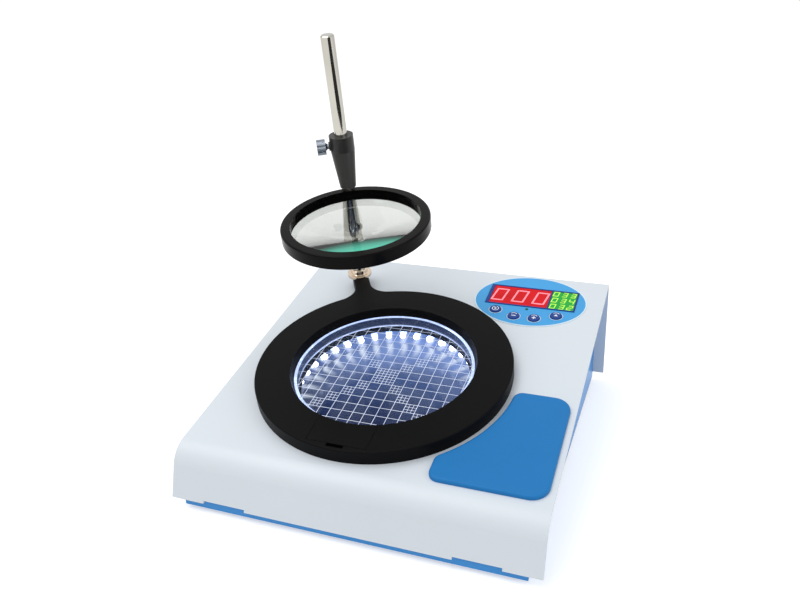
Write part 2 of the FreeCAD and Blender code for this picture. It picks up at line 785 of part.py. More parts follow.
def make_magnifier():
    low = frame_top - frame_height
    lip_low = frame_top - frame_lip_height
    clear_radius = frame_radius - frame_lip
    glass_radius = clear_radius + lens_seat
    body = disc(frame_radius, low, frame_top, lens_x, 0)
    top_edges = [e for e in body.Edges if len(e.Vertexes) == 1]
    body = body.makeFillet(frame_edge, top_edges)
    link_x = frame_post_gap + frame_lip / 2
    tools = [
        disc(clear_radius, low - 1, frame_top + 1, lens_x, 0),
        disc(glass_radius + run, low - 1, lip_low, lens_x, 0),
        disc(link_radius, frame_top - frame_lip_height / 2, frame_top + 1, link_x, 0),
    ]
    add("lens_frame", cut(body, tools), ARM)
    lens_top = lip_low
    lens_low = lip_low - lens_edge
    glass = disc(glass_radius, lens_low - lens_bulge_down, lens_top + lens_bulge_up, lens_x, 0)
    for bulge, rim, sign in ((lens_bulge_up, lens_top, 1), (lens_bulge_down, lens_low, -1)):
        ball = (clear_radius ** 2 + bulge ** 2) / (2 * bulge)
        centre = rim + sign * (bulge - ball)
        cap = Part.makeSphere(ball, Vector(lens_x, 0, centre))
        ledge = disc(glass_radius, lens_low, lens_top, lens_x, 0)
        middle = disc(clear_radius, lens_low - lens_bulge_down, lens_top + lens_bulge_up, lens_x, 0)
        glass = glass.common(fuse([cap.common(middle), ledge]).fuse(
            disc(glass_radius, lens_low - lens_bulge_down, lens_top, lens_x, 0) if sign > 0 else
            disc(glass_radius, lens_low, lens_top + lens_bulge_up, lens_x, 0)
        ))
    add("magnifier_lens", glass, ARM)
    retainer = tube(glass_radius - fit, clear_radius, low, lens_low, lens_x, 0)
    add("lens_retainer", retainer, ARM)


# ---------------------------------------------------------------- counting panel
def make_overlay():
    plate = ellipse_plate(panel_half_length, panel_half_width, 0, overlay_thickness, panel_u, panel_v)
    left, right = window_left - fit, window_right + fit
    low, high = window_v - window_width / 2 - fit, window_v + window_width / 2 + fit
    tools = [
        box(left, right, low, high, -1, 2),
        disc(pilot_radius + fit, -1, 2, *pilot_place()),
    ]
    tools += [disc(button_radius + fit, -1, 2, x, y) for x, y in button_places()]
    add("panel_overlay", cut(plate, tools), DECK)


def make_window_frame():
    low, high = window_v - window_width / 2, window_v + window_width / 2
    frame = box(window_left, window_right, low, high, 0, window_height)
    tools = [
        box(count_left, count_right, opening_low, opening_high, -1, 3),
        box(rate_left, rate_right, opening_low, opening_high, -1, 3),
    ]
    add("window_frame", cut(frame, tools), DECK)


def make_displays():
    count_u = (count_left + count_right) / 2
    rate_u = (rate_left + rate_right) / 2
    count_body = box(
        count_left + fit, count_right - fit, opening_low + fit, opening_high - fit, board_top, display_face
    )
    add("count_display", count_body, DECK)
    segments = []
    for i in (-1, 0, 1):
        segments += digit(
            "0", count_digit_width, count_digit_height, count_stroke,
            count_u + i * count_digit_pitch, window_v, display_face, segment_height,
        )
    add("count_segments", group(segments), DECK)
    rate_body = box(
        rate_left + fit, rate_right - fit, opening_low + fit, opening_high - fit, board_top, display_face
    )
    add("rate_display", rate_body, DECK)
    segments = []
    for row, figures in ((1, "033"), (0, "034"), (-1, "032")):
        for column, figure in zip((-1, 0, 1), figures):
            segments += digit(
                figure, rate_digit_width, rate_digit_height, rate_stroke,
                rate_u + column * rate_digit_pitch, window_v + row * rate_row_pitch, display_face,
                segment_height,
            )
    add("rate_segments", group(segments), DECK)


def make_buttons_and_board():
    cap_top = overlay_thickness + button_rise
    flange_under = -cover_sheet - 0.4 - button_flange
    stem_end = board_top + 5.0
    switches = []
    for i, (x, y) in enumerate(button_places()):
        cap = disc(button_radius, flange_under, cap_top, x, y)
        rim = [e for e in cap.Edges if e.Vertexes[0].Z > cap_top - 0.01 and len(e.Vertexes) == 1]
        cap = cap.makeFillet(0.5, rim)
        flange = disc(button_radius + 1.0, flange_under, -cover_sheet - 0.4, x, y)
        stem = disc(1.6, stem_end, flange_under, x, y)
        add("push_button_%d" % (i + 1), fuse([cap, flange, stem]), DECK)
        body = box(x - 3, x + 3, y - 3, y + 3, board_top, board_top + 3.2)
        top = disc(1.7, board_top + 3.2, stem_end - button_travel - 0.1, x, y)
        switches.append(fuse([body, top]))
    add("button_switches", group(switches), DECK)
    u0 = panel_u - display_board_length / 2
    v0 = panel_v - display_board_width / 2
    board = box(u0, u0 + display_board_length, v0, v0 + display_board_width, -display_board_drop, board_top)
    corners = [
        (x, y)
        for x in (u0 + 5, u0 + display_board_length - 5)
        for y in (v0 + 5, v0 + display_board_width - 5)
    ]
    tools = [disc(small_screw_radius + fit, -display_board_drop - 1, board_top + 1, x, y) for x, y in corners]
    add("display_board", cut(board, tools), DECK)
    posts = [
        tube(standoff_radius, small_screw_radius + run, board_top, -cover_sheet, x, y) for x, y in corners
    ]
    add("display_standoffs", group(posts), DECK)
    screws = [
        screw(small_screw_radius, 8, small_head_radius, small_head_height, x, y, -display_board_drop)
        for x, y in corners
    ]
    board_screws.extend(placed(item, DECK) for item in screws)
    x, y = pilot_place()
    lamp = fuse([
        disc(pilot_radius, board_top, overlay_thickness + 0.3, x, y),
        disc(pilot_radius + 0.4, board_top, board_top + 2, x, y),
    ])
    add("pilot_lamp", lamp, DECK)


# ---------------------------------------------------------------- palm rest
def make_palm_rest():
    right = deck_right - palm_side_gap
    left = right - palm_length
    low = -deck_front + palm_front_gap
    high = low + palm_width
    blank = box(left, right, low, high, 0, palm_height)
    blank = blank.cut(disc(ring_radius + palm_gap, -1, palm_height + 1))
    blank = max(blank.Solids, key=lambda s: s.Volume)
    for at_right, radius in ((True, palm_right_corner), (False, palm_left_corner)):
        edges = []
        for e in blank.Edges:
            a, b = e.Vertexes[0].Point, e.Vertexes[-1].Point
            upright = abs(a.x - b.x) < 0.01 and abs(a.y - b.y) < 0.01 and abs(a.z - b.z) > 1
            if upright and (abs(a.x - right) < 0.01) == at_right and len(e.Vertexes) == 2:
                edges.append(e)
        sharp = [e for e in edges if at_right or on_palm_outline(e, left, low, high)]
        blank = blank.makeFillet(radius, sharp)
    top = [e for e in blank.Edges if all(abs(v.Z - palm_height) < 0.01 for v in e.Vertexes)]
    add("palm_rest", blank.makeFillet(palm_edge, top), DECK)


def on_palm_outline(edge, left, low, high):
    x, y = edge.Vertexes[0].X, edge.Vertexes[0].Y
    return abs(x - left) < 0.01 or abs(y - low) < 0.01 or abs(y - high) < 0.01


# ---------------------------------------------------------------- electronics
def make_main_board():
    z = tray_floor + main_standoff_height
    x0, y0 = main_board_x, main_board_y
    x1, y1 = x0 + main_board_length, y0 + main_board_width
    top = z + board_thickness
    corners = [(x, y) for x in (x0 + 5, x1 - 5) for y in (y0 + 5, y1 - 5)]
    board = box(x0, x1, y0, y1, z, top)
    holes = [disc(small_screw_radius + fit, z - 1, top + 1, x, y) for x, y in corners]
    add("main_board", cut(board, holes))
    add("main_standoffs", group([
        tube(standoff_radius, small_screw_radius + run, tray_floor, z, x, y) for x, y in corners
    ]))
    board_screws.extend(
        screw(small_screw_radius, 7, small_head_radius, small_head_height, x, y, top, up=False)
        for x, y in corners
    )
    add("processor", box(x0 + 34, x0 + 48, y0 + 40, y0 + 54, top, top + 2.2))
    add("capacitors", group([
        disc(5, top, top + 14, x0 + 16, y0 + 70),
        disc(5, top, top + 14, x0 + 30, y0 + 70),
        disc(3.2, top, top + 11, x0 + 43, y0 + 70),
    ]))
    plate = box(x0 + 55, x0 + 57, y0 + 62, y0 + 82, top, top + 20)
    fins = [
        box(x0 + 57, x0 + 65, y0 + 62 + i * 6.2, y0 + 63.4 + i * 6.2, top, top + 20) for i in range(4)
    ]
    add("heat_sink", fuse([plate] + fins))
    add("regulator", box(x0 + 50.6, x0 + 55, y0 + 67, y0 + 77, top, top + 15))
    add("board_headers", group([
        box(x0 + 6, x0 + 12, y0 + 14, y0 + 40, top, top + 8),
        box(x0 + 66, x0 + 72, y0 + 14, y0 + 34, top, top + 8),
        box(x0 + 24, x0 + 50, y0 + 6, y0 + 12, top, top + 8),
    ]))
    add("buzzer", tube(6, 1.2, top, top + 8.5, x0 + 22, y0 + 28))


# ---------------------------------------------------------------- rear ports
def make_power_rocker():
    x = rocker_x
    flange = box(x - 8, x + 8, -12, 12, 0, 1.4)
    body = box(x - 6.3, x + 6.3, -10.3, 10.3, -15, 0)
    half = rocker_width / 2 + fit
    cavity = Part.makeCylinder(rocker_barrel + fit, 2 * half, Vector(x - half, 0, -2), Vector(1, 0, 0))
    mouth = box(x - half, x + half, -rocker_barrel + 0.6, rocker_barrel - 0.6, -1, 3)
    pivot = Part.makeCylinder(1.0 + run, 12.6, Vector(x - 6.3, 0, -2), Vector(1, 0, 0))
    tabs = [box(x + side * 3.6 - 0.4, x + side * 3.6 + 0.4, -2.4, 2.4, -23, -15) for side in (-1, 1)]
    add("rocker_housing", cut(fuse([flange, body] + tabs), [cavity, mouth, pivot]), REAR)
    side = Vector(x - rocker_width / 2, 0, -2)
    barrel = Part.makeCylinder(rocker_barrel, rocker_width, side, Vector(1, 0, 0))
    outline = [(-9, -12), (9, -12), (9, 3.3), (0, 1.3), (-9, 3.3)]
    points = [Vector(x - 6, y, z) for y, z in outline]
    wedge = Part.Face(Part.makePolygon(points + points[:1])).extrude(Vector(12, 0, 0))
    pin = Part.makeCylinder(1.0, 11.6, Vector(x - 5.8, 0, -2), Vector(1, 0, 0))
    rocker = fuse([barrel.common(wedge), pin])
    rocker = turned(rocker, rocker_throw, Vector(x, 0, -2), Vector(1, 0, 0))
    add("power_rocker", rocker, REAR)


def make_power_inlet():
    x = inlet_x
    body = fuse([disc(inlet_radius + 2, 0, 2, x, 0), disc(inlet_radius, -12, 0, x, 0)])
    socket = tube(3.2, 1.0, -9, 3, x, 0).cut(disc(1.5, -0.5, 3, x, 0))
    socket = fuse([socket, disc(3.2, -0.5, 3, x, 0)])
    add("power_inlet", body.cut(socket), REAR)
    nut = tube(inlet_radius + 3, inlet_radius + run, -cover_sheet - 2.5, -cover_sheet, x, 0)
    flats = [
        turned(box(inlet_radius + 1.9, 20, -20, 20, -10, 0), angle, Vector(0, 0, 0)) for angle in around(6)
    ]
    for flat in flats:
        flat.translate(Vector(x, 0, 0))
    add("inlet_nut", cut(nut, flats), REAR)


make_top_cover()
make_base_tray()
make_pillars_feet_and_screws()
make_ring_bezel()
make_front_hatch()
make_bezel_screws()
make_post()
make_light_well()
make_lamps()
make_platform_springs_and_switch()
make_platform()
make_bush()
make_arm()
make_thumb_screw()
make_magnifier()
make_overlay()
make_window_frame()
make_displays()
make_buttons_and_board()
make_palm_rest()
make_main_board()
make_power_rocker()
make_power_inlet()

add("board_screws", group(board_screws))

os.makedirs("parts", exist_ok=True)
for node, shape in nodes.items():
    shape.exportStep("parts/%s.step" % node)
print(len(nodes), "pieces written")
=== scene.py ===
import json
import math

import bmesh
import bpy
from mathutils import Matrix, Vector
from mathutils.geometry import delaunay_2d_cdt


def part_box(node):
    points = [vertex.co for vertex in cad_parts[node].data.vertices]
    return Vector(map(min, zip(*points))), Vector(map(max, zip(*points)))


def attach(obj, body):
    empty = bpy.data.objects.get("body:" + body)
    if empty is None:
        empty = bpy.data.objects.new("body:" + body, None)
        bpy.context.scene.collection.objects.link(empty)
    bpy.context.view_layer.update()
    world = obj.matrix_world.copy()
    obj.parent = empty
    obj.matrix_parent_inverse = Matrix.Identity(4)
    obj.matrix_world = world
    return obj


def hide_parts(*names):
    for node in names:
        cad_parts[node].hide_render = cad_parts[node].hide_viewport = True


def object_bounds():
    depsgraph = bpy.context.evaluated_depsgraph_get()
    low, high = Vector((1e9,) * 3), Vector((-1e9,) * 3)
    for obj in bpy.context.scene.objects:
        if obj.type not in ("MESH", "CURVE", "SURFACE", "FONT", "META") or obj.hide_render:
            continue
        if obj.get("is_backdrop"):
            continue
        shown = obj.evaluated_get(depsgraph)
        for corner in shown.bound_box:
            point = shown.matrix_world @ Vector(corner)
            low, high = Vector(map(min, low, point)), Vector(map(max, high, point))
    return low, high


bl_info = {
    "name": "Colony counter looks",
    "version": (1, 0, 0),
    "blender": (4, 5, 0),
    "location": "3D View > Sidebar > Colony counter",
    "description": "Finishes and fine detail of a bench-top colony counter, built round its fixed frame",
    "category": "Object",
}

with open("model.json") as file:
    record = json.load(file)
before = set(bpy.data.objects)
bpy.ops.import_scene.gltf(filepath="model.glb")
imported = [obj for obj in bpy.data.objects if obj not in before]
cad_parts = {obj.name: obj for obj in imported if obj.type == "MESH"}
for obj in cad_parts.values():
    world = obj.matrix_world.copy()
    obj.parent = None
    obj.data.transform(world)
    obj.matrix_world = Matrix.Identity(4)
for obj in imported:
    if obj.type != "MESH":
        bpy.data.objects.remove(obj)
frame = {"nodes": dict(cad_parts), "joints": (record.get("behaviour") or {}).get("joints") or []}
MM = 0.001


# ---------------------------------------------------------------- places on the deck
def joint(name):
    return next(j for j in frame["joints"] if j["name"] == name)


def middle_of(node):
    low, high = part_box(node)
    return (low + high) / 2


def deck_placement():
    """Deck coordinates: u to the right, v up the slope and w out of the deck.

    The cover's outer face lies at w = 0.
    """
    out = -Vector(joint("platform_press")["axis"]).normalized()
    across = Vector((1, 0, 0))
    up = out.cross(across)
    middle = middle_of("grid_plate")
    face = min(out.dot(v.co) for v in frame["nodes"]["ring_bezel"].data.vertices)
    origin = middle + out * (face - out.dot(middle))
    turn = Matrix((across, up, out)).transposed()
    return Matrix.Translation(origin) @ turn.to_4x4()


DECK = deck_placement()
FROM_DECK = DECK.inverted()
DECK_TILT = math.asin(joint("platform_press")["axis"][1])


def deck_span(node):
    """Lowest and highest (u, v, w) of a CAD node."""
    points = [FROM_DECK @ v.co for v in frame["nodes"][node].data.vertices]
    low = Vector([min(p[i] for p in points) for i in range(3)])
    high = Vector([max(p[i] for p in points) for i in range(3)])
    return low, high


def deck_middle(node):
    low, high = deck_span(node)
    return (low + high) / 2


GRID_LOW, GRID_HIGH = deck_span("grid_plate")
OVERLAY_LOW, OVERLAY_HIGH = deck_span("panel_overlay")
BUTTONS = ["push_button_%d" % i for i in range(1, 5)]


# ---------------------------------------------------------------- mesh helpers
def new_object(name, mesh):
    made = bpy.data.objects.new(name, mesh)
    bpy.context.scene.collection.objects.link(made)
    return made


def mesh_from(name, verts, faces):
    mesh = bpy.data.meshes.new(name)
    mesh.from_pydata([tuple(v) for v in verts], [], faces)
    mesh.update()
    return mesh


def finish_mesh(bm, name, place=None):
    """Merge doubles, turn faces outwards, put the mesh in place and link it as a new object."""
    bmesh.ops.remove_doubles(bm, verts=bm.verts, dist=1e-7)
    bmesh.ops.recalc_face_normals(bm, faces=bm.faces)
    mesh = bpy.data.meshes.new(name)
    bm.to_mesh(mesh)
    bm.free()
    if place is not None:
        mesh.transform(place)
    return new_object(name, mesh)


def add_prism(bm, outline, low, high):
    """A closed upright prism on an outline of (x, y) points."""
    lower = [bm.verts.new((x, y, low)) for x, y in outline]
    upper = [bm.verts.new((x, y, high)) for x, y in outline]
    bm.faces.new(list(reversed(lower)))
    bm.faces.new(upper)
    count = len(outline)
    for i in range(count):
        j = (i + 1) % count
        bm.faces.new((lower[i], lower[j], upper[j], upper[i]))


def bar_outline(x, y, length, width, degrees=0.0):
    turn = math.radians(degrees)
    c, s = math.cos(turn), math.sin(turn)
    run, rise = length / 2, width / 2
    half = [(-run, -rise), (run, -rise), (run, rise), (-run, rise)]
    return [(x + a * c - b * s, y + a * s + b * c) for a, b in half]


def arc_outline(x, y, outer, inner, start, end, steps=28):
    angles = [math.radians(start + (end - start) * i / steps) for i in range(steps + 1)]
    rim = [(x + outer * math.cos(a), y + outer * math.sin(a)) for a in angles]
    bore = [(x + inner * math.cos(a), y + inner * math.sin(a)) for a in reversed(angles)]
    return rim + bore


def paint(node, material):
    """Give a CAD node its finish."""
    item = frame["nodes"][node]
    if not item.material_slots:
        item.data.materials.append(material)
    for place in item.material_slots:
        place.material = material


# ---------------------------------------------------------------- geometry node helpers
def new_tree(name, sizes):
    """A geometry tree with named float inputs, a material input and one geometry output."""
    tree = bpy.data.node_groups.new(name, "GeometryNodeTree")
    tree.interface.new_socket("Geometry", in_out="INPUT", socket_type="NodeSocketGeometry")
    for label, default in sizes:
        made = tree.interface.new_socket(label, in_out="INPUT", socket_type="NodeSocketFloat")
        made.default_value = default
        made.subtype = "DISTANCE"
    tree.interface.new_socket("Material", in_out="INPUT", socket_type="NodeSocketMaterial")
    tree.interface.new_socket("Geometry", in_out="OUTPUT", socket_type="NodeSocketGeometry")
    source = tree.nodes.new("NodeGroupInput")
    return tree, source.outputs


def math_node(tree, operation, a, b=None):
    node = tree.nodes.new("ShaderNodeMath")
    node.operation = operation
    for place, value in zip(node.inputs, (a, b)):
        if value is None:
            continue
        if isinstance(value, (int, float)):
            place.default_value = value
        else:
            tree.links.new(value, place)
    return node.outputs[0]


def combine(tree, x=0.0, y=0.0, z=0.0):
    node = tree.nodes.new("ShaderNodeCombineXYZ")
    for place, value in zip(node.inputs, (x, y, z)):
        if isinstance(value, (int, float)):
            place.default_value = value
        else:
            tree.links.new(value, place)
    return node.outputs[0]


def brick(tree, x, y, z):
    node = tree.nodes.new("GeometryNodeMeshCube")
    tree.links.new(combine(tree, x, y, z), node.inputs["Size"])
    return node.outputs["Mesh"]


def row_of_points(tree, count, start, step):
    node = tree.nodes.new("GeometryNodeMeshLine")
    node.mode = "OFFSET"
    node.inputs["Count"].default_value = count
    tree.links.new(start, node.inputs["Start Location"])
    tree.links.new(step, node.inputs["Offset"])
    return node.outputs["Mesh"]


def instance(tree, points, shape, scale=None):
    node = tree.nodes.new("GeometryNodeInstanceOnPoints")
    tree.links.new(points, node.inputs["Points"])
    tree.links.new(shape, node.inputs["Instance"])
    if scale is not None:
        tree.links.new(scale, node.inputs["Scale"])
    return node.outputs["Instances"]


def moved(tree, geometry, offset=None, degrees=0.0):
    node = tree.nodes.new("GeometryNodeTransform")
    tree.links.new(geometry, node.inputs["Geometry"])
    if offset is not None:
        tree.links.new(offset, node.inputs["Translation"])
    node.inputs["Rotation"].default_value = (0, 0, math.radians(degrees))
    return node.outputs["Geometry"]


def joined(tree, parts):
    node = tree.nodes.new("GeometryNodeJoinGeometry")
    for part in reversed(parts):
        tree.links.new(part, node.inputs["Geometry"])
    return node.outputs["Geometry"]


def close_tree(tree, geometry, source):
    """Every tree ends in Realize Instances and Set Material."""
    real = tree.nodes.new("GeometryNodeRealizeInstances")
    coat = tree.nodes.new("GeometryNodeSetMaterial")
    result = tree.nodes.new("NodeGroupOutput")
    tree.links.new(geometry, real.inputs["Geometry"])
    tree.links.new(real.outputs["Geometry"], coat.inputs["Geometry"])
    tree.links.new(source["Material"], coat.inputs["Material"])
    tree.links.new(coat.outputs["Geometry"], result.inputs[0])
    return tree


def grown(name, tree, material, sizes, place, seed_mesh=None):
    """Run a geometry tree on an object, keep the result as a plain mesh and drop the modifier."""
    holder = new_object(name + "_grower", seed_mesh or bpy.data.meshes.new(name + "_seed"))
    modifier = holder.modifiers.new("grow", "NODES")
    modifier.node_group = tree
    for item in tree.interface.items_tree:
        if item.item_type == "SOCKET" and item.in_out == "INPUT" and item.name in sizes:
            modifier[item.identifier] = sizes[item.name]
        if item.item_type == "SOCKET" and item.in_out == "INPUT" and item.name == "Material":
            modifier[item.identifier] = material
    bpy.context.view_layer.update()
    ready = holder.evaluated_get(bpy.context.evaluated_depsgraph_get())
    mesh = bpy.data.meshes.new_from_object(ready)
    holder.modifiers.clear()
    bpy.data.objects.remove(holder)
    if not mesh.polygons:
        raise RuntimeError(name + " came out empty")
    mesh.name = name
    mesh.transform(place)
    if not mesh.materials:
        mesh.materials.append(material)
    return new_object(name, mesh)


def ruling_tree():
    """Counting grid: long lines cut to the plate's chord, and a finer hatch on both diagonals."""
    tree, source = new_tree("counting_grid_ruling", [
        ("Radius", 72 * MM), ("Pitch", 10 * MM), ("Line Width", 0.4 * MM), ("Fine Width", 0.26 * MM),
        ("Thickness", 0.04 * MM),
    ])
    lines = 15
    reach = (lines - 1) / 2
    lowest = math_node(tree, "MULTIPLY", source["Pitch"], -reach)
    points = row_of_points(tree, lines, combine(tree, 0, lowest, 0), combine(tree, 0, source["Pitch"], 0))
    position = tree.nodes.new("GeometryNodeInputPosition").outputs[0]
    split = tree.nodes.new("ShaderNodeSeparateXYZ")
    tree.links.new(position, split.inputs[0])
    square = math_node(tree, "MULTIPLY", split.outputs["Y"], split.outputs["Y"])
    limit = math_node(tree, "MULTIPLY", source["Radius"], source["Radius"])
    room = math_node(tree, "SUBTRACT", limit, square)
    chord = math_node(tree, "MULTIPLY", math_node(tree, "SQRT", math_node(tree, "MAXIMUM", room, 1e-6)), 2)
    strip = brick(tree, 1.0, source["Line Width"], source["Thickness"])
    across = instance(tree, points, strip, combine(tree, chord, 1, 1))
    upright = moved(tree, across, degrees=90)
    third = math_node(tree, "DIVIDE", source["Pitch"], 6)
    short = brick(tree, source["Pitch"], source["Fine Width"], source["Thickness"])
    pair = [
        moved(tree, short, combine(tree, 0, third, 0)),
        moved(tree, short, combine(tree, 0, math_node(tree, "MULTIPLY", third, -1), 0)),
    ]
    level = joined(tree, pair)
    hatch = joined(tree, [level, moved(tree, level, degrees=90)])
    squares = 10
    corner = math_node(tree, "MULTIPLY", source["Pitch"], -(squares - 1) / 2)
    mirror = math_node(tree, "MULTIPLY", corner, -1)
    falling = math_node(tree, "MULTIPLY", source["Pitch"], -1)
    rising_row = row_of_points(
        tree, squares, combine(tree, corner, corner, 0), combine(tree, source["Pitch"], source["Pitch"], 0)
    )
    falling_row = row_of_points(
        tree, squares, combine(tree, corner, mirror, 0), combine(tree, source["Pitch"], falling, 0)
    )
    fine = [instance(tree, row, hatch) for row in (rising_row, falling_row)]
    return close_tree(tree, joined(tree, [across, upright] + fine), source)


def printed_ring_tree():
    """A thin flat ring on every vertex of the seed mesh."""
    tree, source = new_tree("printed_rings", [
        ("Radius", 6.3 * MM), ("Line Width", 0.5 * MM), ("Thickness", 0.06 * MM),
    ])
    circle = tree.nodes.new("GeometryNodeCurvePrimitiveCircle")
    circle.inputs["Resolution"].default_value = 64
    tree.links.new(source["Radius"], circle.inputs["Radius"])
    section = tree.nodes.new("GeometryNodeCurvePrimitiveQuadrilateral")
    tree.links.new(source["Line Width"], section.inputs["Width"])
    tree.links.new(source["Thickness"], section.inputs["Height"])
    sweep = tree.nodes.new("GeometryNodeCurveToMesh")
    tree.links.new(circle.outputs["Curve"], sweep.inputs["Curve"])
    tree.links.new(section.outputs["Curve"], sweep.inputs["Profile Curve"])
    rings = instance(tree, source["Geometry"], sweep.outputs["Mesh"])
    return close_tree(tree, rings, source)


def solder_tree():
    """A small rounded solder joint on every vertex of the seed mesh."""
    tree, source = new_tree("solder_joints", [("Radius", 0.75 * MM), ("Height", 0.9 * MM)])
    blob = tree.nodes.new("GeometryNodeMeshCone")
    blob.inputs["Vertices"].default_value = 10
    tree.links.new(source["Radius"], blob.inputs["Radius Bottom"])
    tree.links.new(math_node(tree, "MULTIPLY", source["Radius"], 0.35), blob.inputs["Radius Top"])
    tree.links.new(source["Height"], blob.inputs["Depth"])
    joints = instance(tree, source["Geometry"], blob.outputs["Mesh"])
    return close_tree(tree, joints, source)


# ---------------------------------------------------------------- shader groups
def shader_group(name, inputs, outputs):
    group = bpy.data.node_groups.new(name, "ShaderNodeTree")
    for label, default in inputs:
        kind = "NodeSocketColor" if isinstance(default, tuple) else "NodeSocketFloat"
        made = group.interface.new_socket(label, in_out="INPUT", socket_type=kind)
        made.default_value = default
    for label, kind in outputs:
        group.interface.new_socket(label, in_out="OUTPUT", socket_type=kind)
    return group, group.nodes.new("NodeGroupInput").outputs, group.nodes.new("NodeGroupOutput").inputs


def noise(tree, vector, scale, detail=3.0, roughness=0.55):
    node = tree.nodes.new("ShaderNodeTexNoise")
    node.inputs["Detail"].default_value = detail
    node.inputs["Roughness"].default_value = roughness
    tree.links.new(vector, node.inputs["Vector"])
    if isinstance(scale, (int, float)):
        node.inputs["Scale"].default_value = scale
    else:
        tree.links.new(scale, node.inputs["Scale"])
    return node.outputs["Fac"]


def remap(tree, value, low, high, new_low=0.0, new_high=1.0):
    node = tree.nodes.new("ShaderNodeMapRange")
    for label, number in (("From Min", low), ("From Max", high), ("To Min", new_low), ("To Max", new_high)):
        if isinstance(number, (int, float)):
            node.inputs[label].default_value = number
        else:
            tree.links.new(number, node.inputs[label])
    tree.links.new(value, node.inputs["Value"])
    return node.outputs["Result"]


def grain_group():
    """Moulding and paint grain: a fine height, and a slow drift of tone with faint handling marks."""
    group, given, out = shader_group(
        "surface_grain", [("Grain Scale", 1500.0), ("Drift Scale", 14.0), ("Marks", 0.3)],
        [("Height", "NodeSocketFloat"), ("Tone", "NodeSocketFloat"), ("Wear", "NodeSocketFloat")],
    )
    place = group.nodes.new("ShaderNodeTexCoord").outputs["Object"]
    fine = noise(group, place, given["Grain Scale"], 2.0, 0.6)
    drift = noise(group, place, given["Drift Scale"], 4.0, 0.5)
    stretch = group.nodes.new("ShaderNodeMapping")
    stretch.inputs["Scale"].default_value = (30, 260, 110)
    stretch.inputs["Rotation"].default_value = (0.2, 0.5, 0.7)
    group.links.new(place, stretch.inputs["Vector"])
    streaks = noise(group, stretch.outputs["Vector"], 1.0, 5.0, 0.65)
    marks = math_node(group, "MULTIPLY", remap(group, streaks, 0.62, 0.8), given["Marks"])
    group.links.new(fine, out["Height"])
    group.links.new(remap(group, drift, 0.3, 0.7), out["Tone"])
    group.links.new(marks, out["Wear"])
    return group


def deck_group():
    """Object coordinates turned into deck coordinates u, v and w, in millimetres."""
    group, given, out = shader_group(
        "deck_coordinates", [("Tilt", 0.0), ("Origin X", 0.0), ("Origin Y", 0.0), ("Origin Z", 0.0)],
        [("U", "NodeSocketFloat"), ("V", "NodeSocketFloat"), ("W", "NodeSocketFloat")],
    )
    place = group.nodes.new("ShaderNodeTexCoord").outputs["Object"]
    split = group.nodes.new("ShaderNodeSeparateXYZ")
    group.links.new(place, split.inputs[0])
    x, y, z = [
        math_node(group, "SUBTRACT", split.outputs[i], given["Origin " + axis])
        for i, axis in enumerate("XYZ")
    ]
    cosine = math_node(group, "COSINE", given["Tilt"])
    sine = math_node(group, "SINE", given["Tilt"])
    v = math_node(
        group, "ADD", math_node(group, "MULTIPLY", y, cosine), math_node(group, "MULTIPLY", z, sine)
    )
    w = math_node(
        group, "SUBTRACT", math_node(group, "MULTIPLY", z, cosine), math_node(group, "MULTIPLY", y, sine)
    )
    for label, value in (("U", x), ("V", v), ("W", w)):
        group.links.new(math_node(group, "DIVIDE", value, MM), out[label])
    return group


GROUPS = {}


def shared(name, build):
    if name not in GROUPS:
        GROUPS[name] = build()
    return GROUPS[name]


def place_group(tree, group, values):
    node = tree.nodes.new("ShaderNodeGroup")
    node.node_tree = group
    for label, value in values.items():
        node.inputs[label].default_value = value
    return node.outputs


def grain(tree, scale=1500.0, drift=14.0, marks=0.3):
    values = {"Grain Scale": scale, "Drift Scale": drift, "Marks": marks}
    return place_group(tree, shared("grain", grain_group), values)


def on_deck(tree):
    origin = DECK.translation
    values = {"Tilt": DECK_TILT, "Origin X": origin.x, "Origin Y": origin.y, "Origin Z": origin.z}
    return place_group(tree, shared("deck", deck_group), values)


def blank_material(name):
    material = bpy.data.materials.new(name)
    material.use_nodes = True
    tree = material.node_tree
    return material, tree, tree.nodes["Principled BSDF"]


def mix_colour(tree, mask, first, second):
    node = tree.nodes.new("ShaderNodeMix")
    node.data_type = "RGBA"
    if isinstance(mask, (int, float)):
        node.inputs["Factor"].default_value = mask
    else:
        tree.links.new(mask, node.inputs["Factor"])
    for place, value in ((node.inputs[6], first), (node.inputs[7], second)):
        if isinstance(value, bpy.types.NodeSocket):
            tree.links.new(value, place)
        else:
            place.default_value = (*value[:3], 1.0)
    return node.outputs[2]


def add_bump(tree, shader, height, strength, distance):
    node = tree.nodes.new("ShaderNodeBump")
    node.inputs["Strength"].default_value = strength
    node.inputs["Distance"].default_value = distance
    tree.links.new(height, node.inputs["Height"])
    tree.links.new(node.outputs["Normal"], shader.inputs["Normal"])


def surface(
    name, colour, shade, roughness, spread=0.08, scale=1500.0, drift=14.0, bump=0.15, distance=0.00005,
    metallic=0.0, coat=0.0, coat_roughness=0.1, marks=0.3, worn=None, specular=0.5,
):
    """A moulded, painted or metal finish: two close tones, uneven gloss, fine grain and faint wear."""
    material, tree, shader = blank_material(name)
    group = grain(tree, scale, drift, marks)
    toned = mix_colour(tree, group["Tone"], colour, shade)
    rubbed = worn if worn is not None else tuple(min(1.0, c * 1.35 + 0.01) for c in colour)
    toned = mix_colour(tree, group["Wear"], toned, rubbed)
    tree.links.new(toned, shader.inputs["Base Color"])
    rough = remap(tree, group["Tone"], 0.0, 1.0, max(0.02, roughness - spread), roughness + spread)
    tree.links.new(rough, shader.inputs["Roughness"])
    shader.inputs["Metallic"].default_value = metallic
    shader.inputs["Coat Weight"].default_value = coat
    shader.inputs["Coat Roughness"].default_value = coat_roughness
    shader.inputs["Specular IOR Level"].default_value = specular
    add_bump(tree, shader, group["Height"], bump, distance)
    return material


